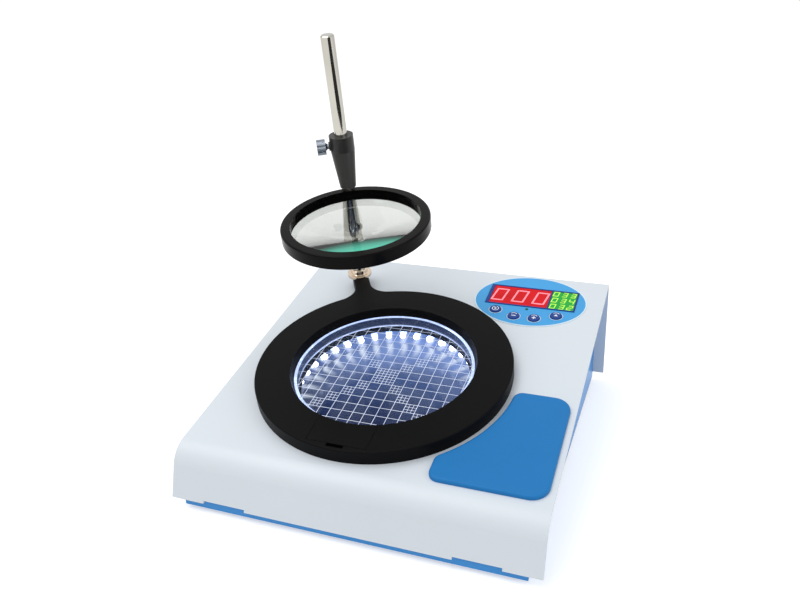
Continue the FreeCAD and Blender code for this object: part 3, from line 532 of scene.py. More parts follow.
def turned_metal(name, colour, shade, roughness, tint_scale=18.0):
    """Polished or turned metal with fine marks that run round the post's axis."""
    material, tree, shader = blank_material(name)
    place = tree.nodes.new("ShaderNodeTexCoord").outputs["Object"]
    turn = tree.nodes.new("ShaderNodeMapping")
    turn.inputs["Rotation"].default_value = (-DECK_TILT, 0, 0)
    turn.inputs["Scale"].default_value = (4, 4, 2400)
    tree.links.new(place, turn.inputs["Vector"])
    rings = noise(tree, turn.outputs["Vector"], 1.0, 2.0, 0.5)
    drift = noise(tree, place, tint_scale, 3.0, 0.5)
    toned = mix_colour(tree, remap(tree, drift, 0.35, 0.65), colour, shade)
    tree.links.new(toned, shader.inputs["Base Color"])
    tree.links.new(remap(tree, drift, 0.3, 0.7, roughness * 0.7, roughness * 1.3), shader.inputs["Roughness"])
    shader.inputs["Metallic"].default_value = 1.0
    add_bump(tree, shader, rings, 0.04, 0.00002)
    return material


def clear_solid(name, colour, roughness, ior, haze=0.0):
    """Clear glass or acrylic with the faintest unevenness."""
    material, tree, shader = blank_material(name)
    group = grain(tree, 300.0, 20.0, 0.2)
    tinted = mix_colour(tree, group["Tone"], colour, tuple(c * 0.985 for c in colour))
    tree.links.new(tinted, shader.inputs["Base Color"])
    smears = remap(tree, group["Wear"], 0.0, 0.2, roughness, roughness + 0.02 + haze)
    tree.links.new(smears, shader.inputs["Roughness"])
    shader.inputs["Metallic"].default_value = 0.0
    shader.inputs["Transmission Weight"].default_value = 1.0
    shader.inputs["IOR"].default_value = ior
    return material, tree, shader


def lit_face(name, colour, glow, strength):
    """A lit display face: a plain field with a fine emitter pattern behind a smooth epoxy front."""
    material, tree, shader = blank_material(name)
    group = grain(tree, 900.0, 60.0, 0.0)
    toned = mix_colour(tree, group["Tone"], colour, tuple(c * 0.8 for c in colour))
    tree.links.new(toned, shader.inputs["Base Color"])
    light = mix_colour(tree, group["Tone"], glow, tuple(c * 0.86 for c in glow))
    tree.links.new(light, shader.inputs["Emission Color"])
    shader.inputs["Emission Strength"].default_value = strength
    shader.inputs["Roughness"].default_value = 0.3
    shader.inputs["Specular IOR Level"].default_value = 0.1
    add_bump(tree, shader, group["Height"], 0.05, 0.00003)
    return material


# ---------------------------------------------------------------- special finishes
def overlay_material(panel, border):
    """Blue printed film with a pale line along its oval edge."""
    material, tree, shader = blank_material("panel_film")
    group = grain(tree, 2400.0, 25.0, 0.1)
    place = on_deck(tree)
    low, high = OVERLAY_LOW / MM, OVERLAY_HIGH / MM
    middle, half = (low + high) / 2, (high - low) / 2
    u = math_node(tree, "DIVIDE", math_node(tree, "SUBTRACT", place["U"], middle.x), half.x - border)
    v = math_node(tree, "DIVIDE", math_node(tree, "SUBTRACT", place["V"], middle.y), half.y - border)
    reach = math_node(tree, "ADD", math_node(tree, "MULTIPLY", u, u), math_node(tree, "MULTIPLY", v, v))
    edge = remap(tree, reach, 1.0, 1.01)
    shade = tuple(c * 0.93 for c in panel.overlay_colour)
    film = mix_colour(tree, group["Tone"], panel.overlay_colour, shade)
    tree.links.new(mix_colour(tree, edge, film, panel.border_colour), shader.inputs["Base Color"])
    shader.inputs["Roughness"].default_value = 0.38
    add_bump(tree, shader, group["Height"], 0.1, 0.00003)
    return material


def painted_lamp_glow_material(name, well):
    """Dark blue surface of the well with a painted glow: the lamps' light is painted on as emission, pooled
    at its rim and towards the back, with a painted halo by each lamp.
    """
    material, tree, shader = blank_material(name)
    group = grain(tree, 700.0, 22.0, 0.4)
    place = on_deck(tree)
    clouds = noise(tree, tree.nodes.new("ShaderNodeTexCoord").outputs["Object"], 26.0, 4.0, 0.6)
    # Painted light: the emission grows towards the back of the slope and towards the rim, and varies unevenly
    # in clouds.
    painted_slope = remap(tree, place["V"], -62.0, 78.0, 0.02, 1.0)
    painted_slope = math_node(tree, "MULTIPLY", painted_slope, painted_slope)
    square_u = math_node(tree, "MULTIPLY", place["U"], place["U"])
    square_v = math_node(tree, "MULTIPLY", place["V"], place["V"])
    radius = math_node(tree, "SQRT", math_node(tree, "ADD", square_u, square_v))
    rim = remap(tree, radius, 20.0, 84.0, 0.7, 1.0)
    # Painted halo: a band of lamp-coloured emission by each lamp, fading out behind them.
    painted_lamp_band = math_node(tree, "MULTIPLY", remap(tree, radius, 68.0, 84.0), remap(tree, radius, 93.0, 86.0))
    turn = math_node(tree, "MULTIPLY", math_node(tree, "ARCTAN2", place["V"], place["U"]), well.lamp_count)
    painted_lamp_wave = remap(tree, math_node(tree, "COSINE", turn, 0.0), 0.3, -1.0)
    painted_halo = math_node(tree, "MULTIPLY", math_node(tree, "MULTIPLY", painted_lamp_wave, painted_lamp_band), 0.75)
    haze = remap(tree, clouds, 0.3, 0.7, 0.7, 1.2)
    painted_pool = math_node(tree, "MULTIPLY", math_node(tree, "MULTIPLY", painted_slope, rim), haze)
    # The painted pool of the lamps' light and the painted halos make up the emission colour.
    glow = mix_colour(tree, painted_pool, (0.003, 0.005, 0.018), well.painted_pool_colour)
    tree.links.new(mix_colour(tree, painted_halo, glow, well.lamp_colour), shader.inputs["Emission Color"])
    shader.inputs["Emission Strength"].default_value = 1.0
    shader.inputs["Specular IOR Level"].default_value = 0.12
    deep = mix_colour(tree, group["Tone"], (0.006, 0.012, 0.05), (0.004, 0.008, 0.035))
    tree.links.new(deep, shader.inputs["Base Color"])
    tree.links.new(remap(tree, group["Tone"], 0, 1, 0.12, 0.2), shader.inputs["Roughness"])
    return material


def lamp_material(well):
    """Clear lamp bodies that burn white at the tip and fall to blue along the body."""
    material, tree, shader = blank_material("white_lamps")
    group = grain(tree, 900.0, 40.0, 0.0)
    place = on_deck(tree)
    square_u = math_node(tree, "MULTIPLY", place["U"], place["U"])
    square_v = math_node(tree, "MULTIPLY", place["V"], place["V"])
    radius = math_node(tree, "SQRT", math_node(tree, "ADD", square_u, square_v))
    tip = remap(tree, radius, 85.0, 79.0)
    body = mix_colour(tree, group["Tone"], (0.8, 0.86, 1.0), (0.7, 0.78, 1.0))
    tree.links.new(body, shader.inputs["Base Color"])
    glow = mix_colour(tree, tip, (0.08, 0.12, 0.26), well.lamp_colour)
    tree.links.new(glow, shader.inputs["Emission Color"])
    shader.inputs["Emission Strength"].default_value = well.lamp_strength
    shader.inputs["Roughness"].default_value = 0.15
    return material


def locator_painted_glow_material(well):
    """Clear acrylic with a painted glow on its upper and lower edges, standing in for the lamps' light that
    it carries there.
    """
    material, tree, shader = clear_solid("acrylic_painted_edge_glow", (0.93, 0.96, 1.0), 0.02, 1.49)
    place = on_deck(tree)
    low, high = deck_span("dish_locator")
    # Painted glow: emission along the top and foot edges, and faintly all over.
    top = remap(tree, place["W"], high.z / MM - 0.35, high.z / MM - 0.05)
    foot = remap(tree, place["W"], low.z / MM + 0.9, low.z / MM + 0.3)
    edge = math_node(tree, "MAXIMUM", top, foot)
    glow = mix_colour(tree, edge, (0.02, 0.03, 0.07), well.painted_edge_glow_colour)
    tree.links.new(glow, shader.inputs["Emission Color"])
    shader.inputs["Emission Strength"].default_value = 0.55
    return material


def plate_material():
    """Clear glass of the ruled plate."""
    return clear_solid("plate_glass", (0.9, 0.94, 1.0), 0.0, 1.22)[0]


def lens_material():
    """Optical glass, faintly green towards its ground rim, with a painted green glow in a crescent on the
    side away from the arm.
    """
    material, tree, shader = blank_material("lens_glass")
    group = grain(tree, 200.0, 12.0, 0.0)
    middle = middle_of("magnifier_lens")
    place = tree.nodes.new("ShaderNodeTexCoord").outputs["Object"]
    away = tree.nodes.new("ShaderNodeVectorMath")
    away.operation = "DISTANCE"
    away.inputs[1].default_value = middle
    tree.links.new(place, away.inputs[0])
    low, high = deck_span("magnifier_lens")
    rim_radius = (high.x - low.x) / 2
    rim = remap(tree, away.outputs["Value"], rim_radius * 0.93, rim_radius * 0.985)
    clear = mix_colour(tree, group["Tone"], (0.61, 0.63, 0.61), (0.60, 0.62, 0.60))
    tree.links.new(mix_colour(tree, rim, clear, (0.12, 0.75, 0.5)), shader.inputs["Base Color"])
    arm = middle_of("clamp_arm")
    outward = (middle - arm - DECK.col[2].xyz * DECK.col[2].xyz.dot(middle - arm)).normalized()
    along = tree.nodes.new("ShaderNodeVectorMath")
    along.operation = "DOT_PRODUCT"
    along.inputs[1].default_value = outward
    tree.links.new(place, along.inputs[0])
    start = outward.dot(middle)
    # Painted glow: a green crescent of emission on the side away from the arm, standing in for light
    # refracted in the lens edge.
    front = remap(tree, along.outputs["Value"], start + rim_radius * 0.5, start + rim_radius * 0.62)
    painted_crescent_glow = mix_colour(tree, front, (0, 0, 0), (0.045, 0.30, 0.215))
    tree.links.new(painted_crescent_glow, shader.inputs["Emission Color"])
    shader.inputs["Emission Strength"].default_value = 1.0
    shader.inputs["Transmission Weight"].default_value = 1.0
    shader.inputs["Roughness"].default_value = 0.0
    shader.inputs["IOR"].default_value = 1.5
    return material


def board_material(name, seed, mask_colour=(0.012, 0.15, 0.06), track_colour=(0.05, 0.32, 0.14)):
    """Solder mask with paler tracks below it."""
    material, tree, shader = blank_material(name)
    group = grain(tree, 1800.0, 40.0, 0.2)
    place = tree.nodes.new("ShaderNodeTexCoord").outputs["Object"]
    shift = tree.nodes.new("ShaderNodeMapping")
    shift.inputs["Location"].default_value = (seed * 0.013, seed * 0.007, 0)
    tree.links.new(place, shift.inputs["Vector"])
    tracks = tree.nodes.new("ShaderNodeTexBrick")
    tracks.inputs["Scale"].default_value = 90.0
    tracks.inputs["Mortar Size"].default_value = 0.035
    tracks.inputs["Color1"].default_value = (0, 0, 0, 1)
    tracks.inputs["Color2"].default_value = (0, 0, 0, 1)
    tracks.inputs["Mortar"].default_value = (1, 1, 1, 1)
    tree.links.new(shift.outputs["Vector"], tracks.inputs["Vector"])
    broken = remap(tree, noise(tree, shift.outputs["Vector"], 60.0), 0.45, 0.5)
    lines = math_node(tree, "MULTIPLY", tracks.outputs["Color"], broken)
    mask = mix_colour(tree, group["Tone"], mask_colour, tuple(c * 0.75 for c in mask_colour))
    tree.links.new(mix_colour(tree, lines, mask, track_colour), shader.inputs["Base Color"])
    shader.inputs["Roughness"].default_value = 0.3
    add_bump(tree, shader, lines, 0.2, 0.00005)
    return material


# ---------------------------------------------------------------- settings
class HousingSettings(bpy.types.PropertyGroup):
    """Colours of the housing."""

    cover_colour: bpy.props.FloatVectorProperty(
        name="Cover colour", description="Powder coat of the folded cover", subtype="COLOR",
        default=(0.70, 0.755, 0.81), min=0, max=1,
    )
    tray_colour: bpy.props.FloatVectorProperty(
        name="Tray colour", description="Moulded base tray", subtype="COLOR",
        default=(0.02, 0.27, 0.70), min=0, max=1,
    )
    ring_colour: bpy.props.FloatVectorProperty(
        name="Ring colour", description="Ring round the dish well", subtype="COLOR",
        default=(0.003, 0.003, 0.0034), min=0, max=1,
    )
    coat_grain: bpy.props.FloatProperty(
        name="Coat grain", description="Strength of the powder coat's orange peel", default=0.12,
        min=0, max=1,
    )


class WellSettings(bpy.types.PropertyGroup):
    """Ruling, lamps and painted glow of the dish well."""

    pitch: bpy.props.FloatProperty(
        name="Ruling pitch", description="Side of a counting square", default=10 * MM, unit="LENGTH",
        precision=4,
    )
    line_width: bpy.props.FloatProperty(
        name="Line width", description="Width of the main ruled lines", default=0.42 * MM, unit="LENGTH",
        precision=5,
    )
    fine_width: bpy.props.FloatProperty(
        name="Fine line width", description="Width of the lines that divide the diagonal squares",
        default=0.34 * MM, unit="LENGTH", precision=5,
    )
    rim_margin: bpy.props.FloatProperty(
        name="Plain rim", description="Unruled rim of the plate", default=2.5 * MM, unit="LENGTH",
        precision=4,
    )
    lamp_colour: bpy.props.FloatVectorProperty(
        name="Lamp colour", description="Light of the lamps", subtype="COLOR", default=(0.86, 0.92, 1.0),
        min=0, max=1,
    )
    lamp_count: bpy.props.IntProperty(
        name="Lamps", description="Number of lamps round the well", default=38, min=1,
    )
    lamp_strength: bpy.props.FloatProperty(
        name="Lamp strength", description="Brightness of the lamps", default=9.0, min=0,
    )
    # Painted glow: colour of the lamps' light painted as emission onto the dark floor and the well.
    painted_pool_colour: bpy.props.FloatVectorProperty(
        name="Pool colour", description="Light that pools on the dark floor", subtype="COLOR",
        default=(0.185, 0.29, 0.60), min=0, max=1,
    )
    # Painted glow: colour of the emission painted on the acrylic ring's edges.
    painted_edge_glow_colour: bpy.props.FloatVectorProperty(
        name="Edge colour", description="Lit edges of the acrylic ring", subtype="COLOR",
        default=(0.5, 0.62, 1.0), min=0, max=1,
    )


class PanelSettings(bpy.types.PropertyGroup):
    """Colours and marks of the counting panel."""

    overlay_colour: bpy.props.FloatVectorProperty(
        name="Film colour", description="Printed film of the oval panel", subtype="COLOR",
        default=(0.035, 0.36, 0.77), min=0, max=1,
    )
    border_colour: bpy.props.FloatVectorProperty(
        name="Border colour", description="Pale line along the oval's edge", subtype="COLOR",
        default=(0.72, 0.85, 0.93), min=0, max=1,
    )
    border_width: bpy.props.FloatProperty(
        name="Border width", description="Width of the pale line along the oval's edge", default=1.1 * MM,
        unit="LENGTH", precision=4,
    )
    navy: bpy.props.FloatVectorProperty(
        name="Navy", description="Window frame and buttons", subtype="COLOR", default=(0.012, 0.05, 0.24),
        min=0, max=1,
    )
    icon_stroke: bpy.props.FloatProperty(
        name="Icon stroke", description="Stroke width of the buttons' symbols", default=0.8 * MM,
        unit="LENGTH", precision=5,
    )
    ring_gap: bpy.props.FloatProperty(
        name="Outline gap", description="Button's edge to its printed outline", default=0.75 * MM,
        unit="LENGTH", precision=5,
    )


class PadSettings(bpy.types.PropertyGroup):
    """Shape and colour of the palm pad."""

    colour: bpy.props.FloatVectorProperty(
        name="Pad colour", description="Soft rubber of the palm pad", subtype="COLOR",
        default=(0.008, 0.185, 0.50), min=0, max=1,
    )
    edge_radius: bpy.props.FloatProperty(
        name="Edge radius", description="Rounding of the pad's upper edge", default=2.0 * MM, unit="LENGTH",
        precision=4,
    )
    dip: bpy.props.FloatProperty(
        name="Dip", description="How far the pad's middle lies below its rolled edge", default=0.5 * MM,
        unit="LENGTH", precision=5,
    )


class StageSettings(bpy.types.PropertyGroup):
    """Camera and light."""

    camera_place: bpy.props.FloatVectorProperty(
        name="Camera place", description="Where the camera stands", subtype="TRANSLATION",
        default=(0.2139, -0.6082, 0.3906),
    )
    heading: bpy.props.FloatProperty(
        name="Heading", description="Camera's turn to the left of straight ahead", subtype="ANGLE",
        default=math.radians(20.47),
    )
    pitch: bpy.props.FloatProperty(
        name="Pitch", description="How far the camera looks down", subtype="ANGLE",
        default=math.radians(21.66),
    )
    roll: bpy.props.FloatProperty(
        name="Roll", description="Camera's lean to the right", subtype="ANGLE", default=math.radians(1.03),
    )
    focal_length: bpy.props.FloatProperty(
        name="Focal length", description="Camera lens, in millimetres", default=36.22, min=1,
    )
    flag_place: bpy.props.FloatVectorProperty(
        name="Flag place", description="Foot of the dark card that streaks the polished post",
        subtype="TRANSLATION", default=(0.14, -0.36, 0.002),
    )
    flag_width: bpy.props.FloatProperty(
        name="Flag width", description="Width of the dark card at its foot", default=0.09, unit="LENGTH",
    )
    flag_reach: bpy.props.FloatProperty(
        name="Flag reach", description="Length of the dark card along the floor", default=0.45, unit="LENGTH",
    )
    flag_spread: bpy.props.FloatProperty(
        name="Flag spread", description="How far the dark card's far end spreads to the right", default=0.75,
        unit="LENGTH",
    )
    ambient: bpy.props.FloatProperty(
        name="Ambient", description="Strength of the pale surroundings", default=0.62, min=0,
    )
    key_power: bpy.props.FloatProperty(
        name="Key power", description="Power of the large soft lamp, in watts", default=21.0, min=0,
    )
    fill_power: bpy.props.FloatProperty(
        name="Fill power", description="Power of the side lamp, in watts", default=7.0, min=0,
    )


# ---------------------------------------------------------------- operators
class COUNTER_OT_housing(bpy.types.Operator):
    """Finish the folded cover, the tray, its feet and its fasteners"""

    bl_idname = "counter.housing"
    bl_label = "Housing"

    def execute(self, context):
        look = context.scene.counter_housing
        cover = tuple(look.cover_colour)
        coat = surface(
            "white_powder_coat", cover, tuple(c * 0.975 for c in cover), 0.42, 0.05, 900.0, 6.0,
            look.coat_grain, 0.00008, marks=0.08,
        )
        tray = tuple(look.tray_colour)
        blue = surface("blue_tray_plastic", tray, tuple(c * 0.9 for c in tray), 0.38, 0.07, 1300.0, 10.0)
        rubber = surface("foot_rubber", (0.02, 0.02, 0.02), (0.03, 0.03, 0.03), 0.8, 0.1, 1800.0, 40.0, 0.4)
        zinc = surface(
            "zinc_plate", (0.62, 0.63, 0.65), (0.52, 0.54, 0.56), 0.3, 0.1, 2600.0, 80.0, 0.2, metallic=1.0
        )
        paint("top_cover", coat)
        paint("base_tray", blue)
        paint("rubber_feet", rubber)
        for node in ("cover_pillars", "foot_screws", "bezel_screws", "post_bolt", "board_screws"):
            paint(node, zinc)
        return {"FINISHED"}


class COUNTER_OT_ring(bpy.types.Operator):
    """Finish the black ring and its front hatch"""

    bl_idname = "counter.ring"
    bl_label = "Ring"

    def execute(self, context):
        colour = tuple(context.scene.counter_housing.ring_colour)
        satin = surface(
            "black_ring_plastic", colour, tuple(c * 1.3 for c in colour), 0.42, 0.05, 2200.0, 9.0, 0.2,
            marks=0.12, worn=(0.01, 0.01, 0.01), specular=0.05,
        )
        paint("ring_bezel", satin)
        paint("front_hatch", satin)
        return {"FINISHED"}


class COUNTER_OT_light_well(bpy.types.Operator):
    """Finish the light well, its lamps, springs and switch"""

    bl_idname = "counter.light_well"
    bl_label = "Light well"

    def execute(self, context):
        well = context.scene.counter_well
        dark = surface(
            "well_plastic", (0.008, 0.008, 0.012), (0.014, 0.014, 0.02), 0.35, 0.08, 1700.0, 20.0,
            specular=0.3
        )
        steel = surface(
            "spring_wire", (0.5, 0.5, 0.52), (0.4, 0.4, 0.42), 0.3, 0.08, 3000.0, 90.0, metallic=1.0
        )
        # The well, the floor, the lamp board and the lamp holder glow with painted lamp light.
        paint("light_well", painted_lamp_glow_material("well_plastic_painted_glow", well))
        paint("dark_floor", painted_lamp_glow_material("dark_field_floor_painted_glow", well))
        paint("lamp_board", painted_lamp_glow_material("lamp_board_painted_glow", well))
        paint("lamp_holder", painted_lamp_glow_material("lamp_holder_painted_glow", well))
        paint("lamps", lamp_material(well))
        paint("platform_springs", steel)
        paint("press_switch", dark)
        return {"FINISHED"}


class COUNTER_OT_platform(bpy.types.Operator):
    """Finish the dish platform and rule its counting grid"""

    bl_idname = "counter.platform"
    bl_label = "Dish platform"

    def execute(self, context):
        well = context.scene.counter_well
        carrier = surface(
            "carrier_plastic", (0.012, 0.012, 0.014), (0.02, 0.02, 0.023), 0.42, 0.08, 1700.0, 20.0
        )
        paint("platform_carrier", carrier)
        paint("grid_plate", plate_material())
        paint("dish_locator", locator_painted_glow_material(well))
        # Ruling lines: ink with a painted glow (emission) standing in for the lamps' edge light.
        ink = lit_face("ruling_ink_painted_glow", (0.7, 0.75, 0.85), (0.55, 0.62, 0.85), 0.55)
        radius = (GRID_HIGH.x - GRID_LOW.x) / 2 - well.rim_margin
        thickness = 0.04 * MM
        sizes = {
            "Radius": radius, "Pitch": well.pitch, "Line Width": well.line_width,
            "Fine Width": well.fine_width, "Thickness": thickness,
        }
        lift = Matrix.Translation((0, 0, GRID_HIGH.z + thickness / 2))
        lines = grown("counting_grid", ruling_tree(), ink, sizes, DECK @ lift)
        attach(lines, "dish_platform")
        return {"FINISHED"}


class COUNTER_OT_post(bpy.types.Operator):
    """Finish the post, its collar, the clamp and the thumb screw"""

    bl_idname = "counter.post"
    bl_label = "Post and clamp"

    def execute(self, context):
        chrome = turned_metal("post_chrome", (0.5, 0.485, 0.435), (0.44, 0.425, 0.38), 0.08)
        warm = turned_metal("collar_chrome", (0.72, 0.61, 0.49), (0.62, 0.50, 0.39), 0.12, 60.0)
        satin = surface(
            "arm_plastic", (0.022, 0.021, 0.020), (0.03, 0.029, 0.028), 0.36, 0.06, 2000.0, 16.0,
            0.2, marks=0.15,
            specular=0.25,
        )
        nylon = surface("bush_nylon", (0.02, 0.02, 0.02), (0.03, 0.03, 0.03), 0.5, 0.05, 1200.0, 50.0)
        plated = surface(
            "thumb_screw_plate", (0.2, 0.23, 0.27), (0.28, 0.31, 0.35), 0.32, 0.08, 2600.0, 120.0, 0.2,
            metallic=0.9,
        )
        brass = surface(
            "tip_brass", (0.7, 0.5, 0.2), (0.6, 0.42, 0.16), 0.3, 0.08, 2600.0, 90.0, metallic=1.0
        )
        paint("support_post", chrome)
        paint("arm_link_pin", chrome)
        paint("post_ferrule", warm)
        paint("clamp_arm", satin)
        paint("clamp_bush", nylon)
        paint("thumb_screw", plated)
        paint("pressure_tip", brass)
        return {"FINISHED"}


class COUNTER_OT_magnifier(bpy.types.Operator):
    """Finish the lens, its frame and its retaining ring"""

    bl_idname = "counter.magnifier"
    bl_label = "Magnifier"

    def execute(self, context):
        gloss = surface(
            "frame_gloss_black", (0.002, 0.0017, 0.0015), (0.003, 0.0026, 0.0024), 0.24, 0.06,
            900.0, 12.0, 0.06,
            coat=0.05, coat_roughness=0.06, marks=0.1, worn=(0.008, 0.008, 0.008), specular=0.04,
        )
        satin = surface(
            "retainer_plastic", (0.006, 0.006, 0.006), (0.01, 0.01, 0.01), 0.45, 0.05, 1800.0, 30.0,
            specular=0.2,
        )
        paint("lens_frame", gloss)
        paint("lens_retainer", satin)
        paint("magnifier_lens", lens_material())
        return {"FINISHED"}


class COUNTER_OT_panel(bpy.types.Operator):
    """Finish the oval panel, its window and its lit displays"""

    bl_idname = "counter.panel"
    bl_label = "Counting panel"

    def execute(self, context):
        panel = context.scene.counter_panel
        navy = tuple(panel.navy)
        frame_navy = surface(
            "window_navy", navy, tuple(c * 1.2 for c in navy), 0.3, 0.05, 1500.0, 40.0, specular=0.15
        )
        paint("panel_overlay", overlay_material(panel, panel.border_width / MM))
        paint("window_frame", frame_navy)
        paint("count_display", lit_face("red_display", (0.5, 0.004, 0.008), (0.7, 0.003, 0.008), 0.36))
        paint("rate_display", lit_face("green_display", (0.02, 0.33, 0.05), (0.02, 0.36, 0.05), 0.4))
        paint("count_segments", lit_face("red_segments", (0.7, 0.2, 0.25), (1.0, 0.35, 0.43), 0.6))
        paint("rate_segments", lit_face("green_segments", (0.5, 0.85, 0.12), (0.5, 0.9, 0.1), 0.5))
        paint("pilot_lamp", lit_face("pilot_green", (0.01, 0.12, 0.06), (0.0, 0.1, 0.04), 0.2))
        return {"FINISHED"}


def icon_outlines(which, stroke):
    """Plain symbols: a stop square, a minus, a plus and an upward arrow, each under a short arc."""
    arc = arc_outline(0, 0.4 * MM, 3.5 * MM, 3.5 * MM - stroke * 0.8, 35, 145)
    if which == 0:
        side = 1.9 * MM
        return [
            arc_outline(0, 0, 3.3 * MM, 3.3 * MM - stroke * 0.8, 100, 440, 48),
            bar_outline(0, side / 2 - stroke / 2, side, stroke),
            bar_outline(0, -side / 2 + stroke / 2, side, stroke),
            bar_outline(-side / 2 + stroke / 2, 0, side - 2 * stroke, stroke, 90),
            bar_outline(side / 2 - stroke / 2, 0, side - 2 * stroke, stroke, 90),
        ]
    if which == 1:
        return [arc, bar_outline(0, -0.6 * MM, 4.2 * MM, stroke * 1.3)]
    if which == 2:
        return [
            arc, bar_outline(0, -0.6 * MM, 3.8 * MM, stroke * 1.3),
            bar_outline(0, -0.6 * MM + 1.3 * MM, 1.2 * MM, stroke * 1.3, 90),
            bar_outline(0, -0.6 * MM - 1.3 * MM, 1.2 * MM, stroke * 1.3, 90),
        ]
    return [arc, [(-1.9 * MM, -1.5 * MM), (1.9 * MM, -1.5 * MM), (0, 1.3 * MM)]]


class COUNTER_OT_buttons(bpy.types.Operator):
    """Finish the four buttons, with their symbols and printed outlines"""

    bl_idname = "counter.buttons"
    bl_label = "Buttons"

    def execute(self, context):
        panel = context.scene.counter_panel
        navy = tuple(panel.navy)
        cap = surface(
            "button_navy", navy, tuple(c * 1.25 for c in navy), 0.32, 0.05, 1600.0, 60.0, 0.12, coat=0.04,
            specular=0.15,
        )
        ink = surface("symbol_ink", (0.92, 0.95, 0.98), (0.86, 0.9, 0.94), 0.5, 0.05, 2400.0, 90.0, 0.1)
        depth = 0.08 * MM
        for index, node in enumerate(BUTTONS):
            paint(node, cap)
            middle, top = deck_middle(node), deck_span(node)[1].z
            bm = bmesh.new()
            for outline in icon_outlines(index, panel.icon_stroke):
                add_prism(bm, outline, 0, depth)
            place = DECK @ Matrix.Translation((middle.x, middle.y, top))
            symbol = finish_mesh(bm, "button_symbol_%d" % (index + 1), place)
            symbol.data.materials.append(ink)
            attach(symbol, "button_%d" % (index + 1))
        low, high = deck_span(BUTTONS[0])
        cap_radius = (high.x - low.x) / 2 - 1.0 * MM
        thickness = 0.06 * MM
        places = [(*deck_middle(node).xy, OVERLAY_HIGH.z + thickness / 2) for node in BUTTONS]
        seed = mesh_from("button_places", places, [])
        sizes = {"Radius": cap_radius + panel.ring_gap, "Line Width": 0.45 * MM, "Thickness": thickness}
        rings = grown("button_outlines", printed_ring_tree(), ink, sizes, DECK, seed)
        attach(rings, "housing")
        return {"FINISHED"}


def base_outline(node):
    """The outline of a flat-bottomed CAD node on the deck, as an anticlockwise list of (u, v) points."""
    bm = bmesh.new()
    bm.from_mesh(frame["nodes"][node].data)
    bmesh.ops.remove_doubles(bm, verts=bm.verts, dist=2e-6)
    bm.transform(FROM_DECK)
    floor = min(v.co.z for v in bm.verts)
    low = {v for v in bm.verts if v.co.z < floor + 1e-5}
    beside = {}
    for edge in bm.edges:
        if edge.verts[0] in low and edge.verts[1] in low:
            flat = [f for f in edge.link_faces if all(v in low for v in f.verts)]
            if len(flat) == 1:
                a, b = edge.verts
                beside.setdefault(a, []).append(b)
                beside.setdefault(b, []).append(a)
    start = next(iter(beside))
    loop, last, here = [start], None, start
    while True:
        onward = next(v for v in beside[here] if v is not last)
        if onward is start:
            break
        loop.append(onward)
        last, here = here, onward
    points = [Vector((v.co.x, v.co.y)) for v in loop]
    bm.free()
    area = sum(a.x * b.y - b.x * a.y for a, b in zip(points, points[1:] + points[:1]))
    return points if area > 0 else points[::-1]


def even_outline(points, step):
    """The same outline with points an even step apart."""
    made = []
    for a, b in zip(points, points[1:] + points[:1]):
        pieces = max(1, round((b - a).length / step))
        made += [a.lerp(b, i / pieces) for i in range(pieces)]
    return made


def inner_loop(points, distance):
    """The outline moved inwards by a distance along its own normals."""
    count = len(points)
    made = []
    for i, here in enumerate(points):
        along = points[(i + 2) % count] - points[(i - 2) % count]
        made.append(here + Vector((-along.y, along.x)).normalized() * distance)
    return made


def distance_to(outline, point):
    best = 1.0
    for a, b in zip(outline, outline[1:] + outline[:1]):
        side = b - a
        share = max(0.0, min(1.0, (point - a).dot(side) / side.length_squared))
        best = min(best, (a + side * share - point).length)
    return best


def inside(outline, point):
    found = False
    for a, b in zip(outline, outline[1:] + outline[:1]):
        if (a.y > point.y) != (b.y > point.y):
            if point.x < (b.x - a.x) * (point.y - a.y) / (b.y - a.y) + a.x:
                found = not found
    return found


def pad_height(depth, height, pad):
    """Height of the pad's top at a distance in from its edge: a rolled edge, then a shallow dip."""
    radius = pad.edge_radius
    if depth < radius:
        return height - radius + math.sqrt(max(0.0, radius ** 2 - (radius - depth) ** 2))
    share = min(1.0, (depth - radius) / (6 * MM))
    return height - pad.dip * share * share * (3 - 2 * share)


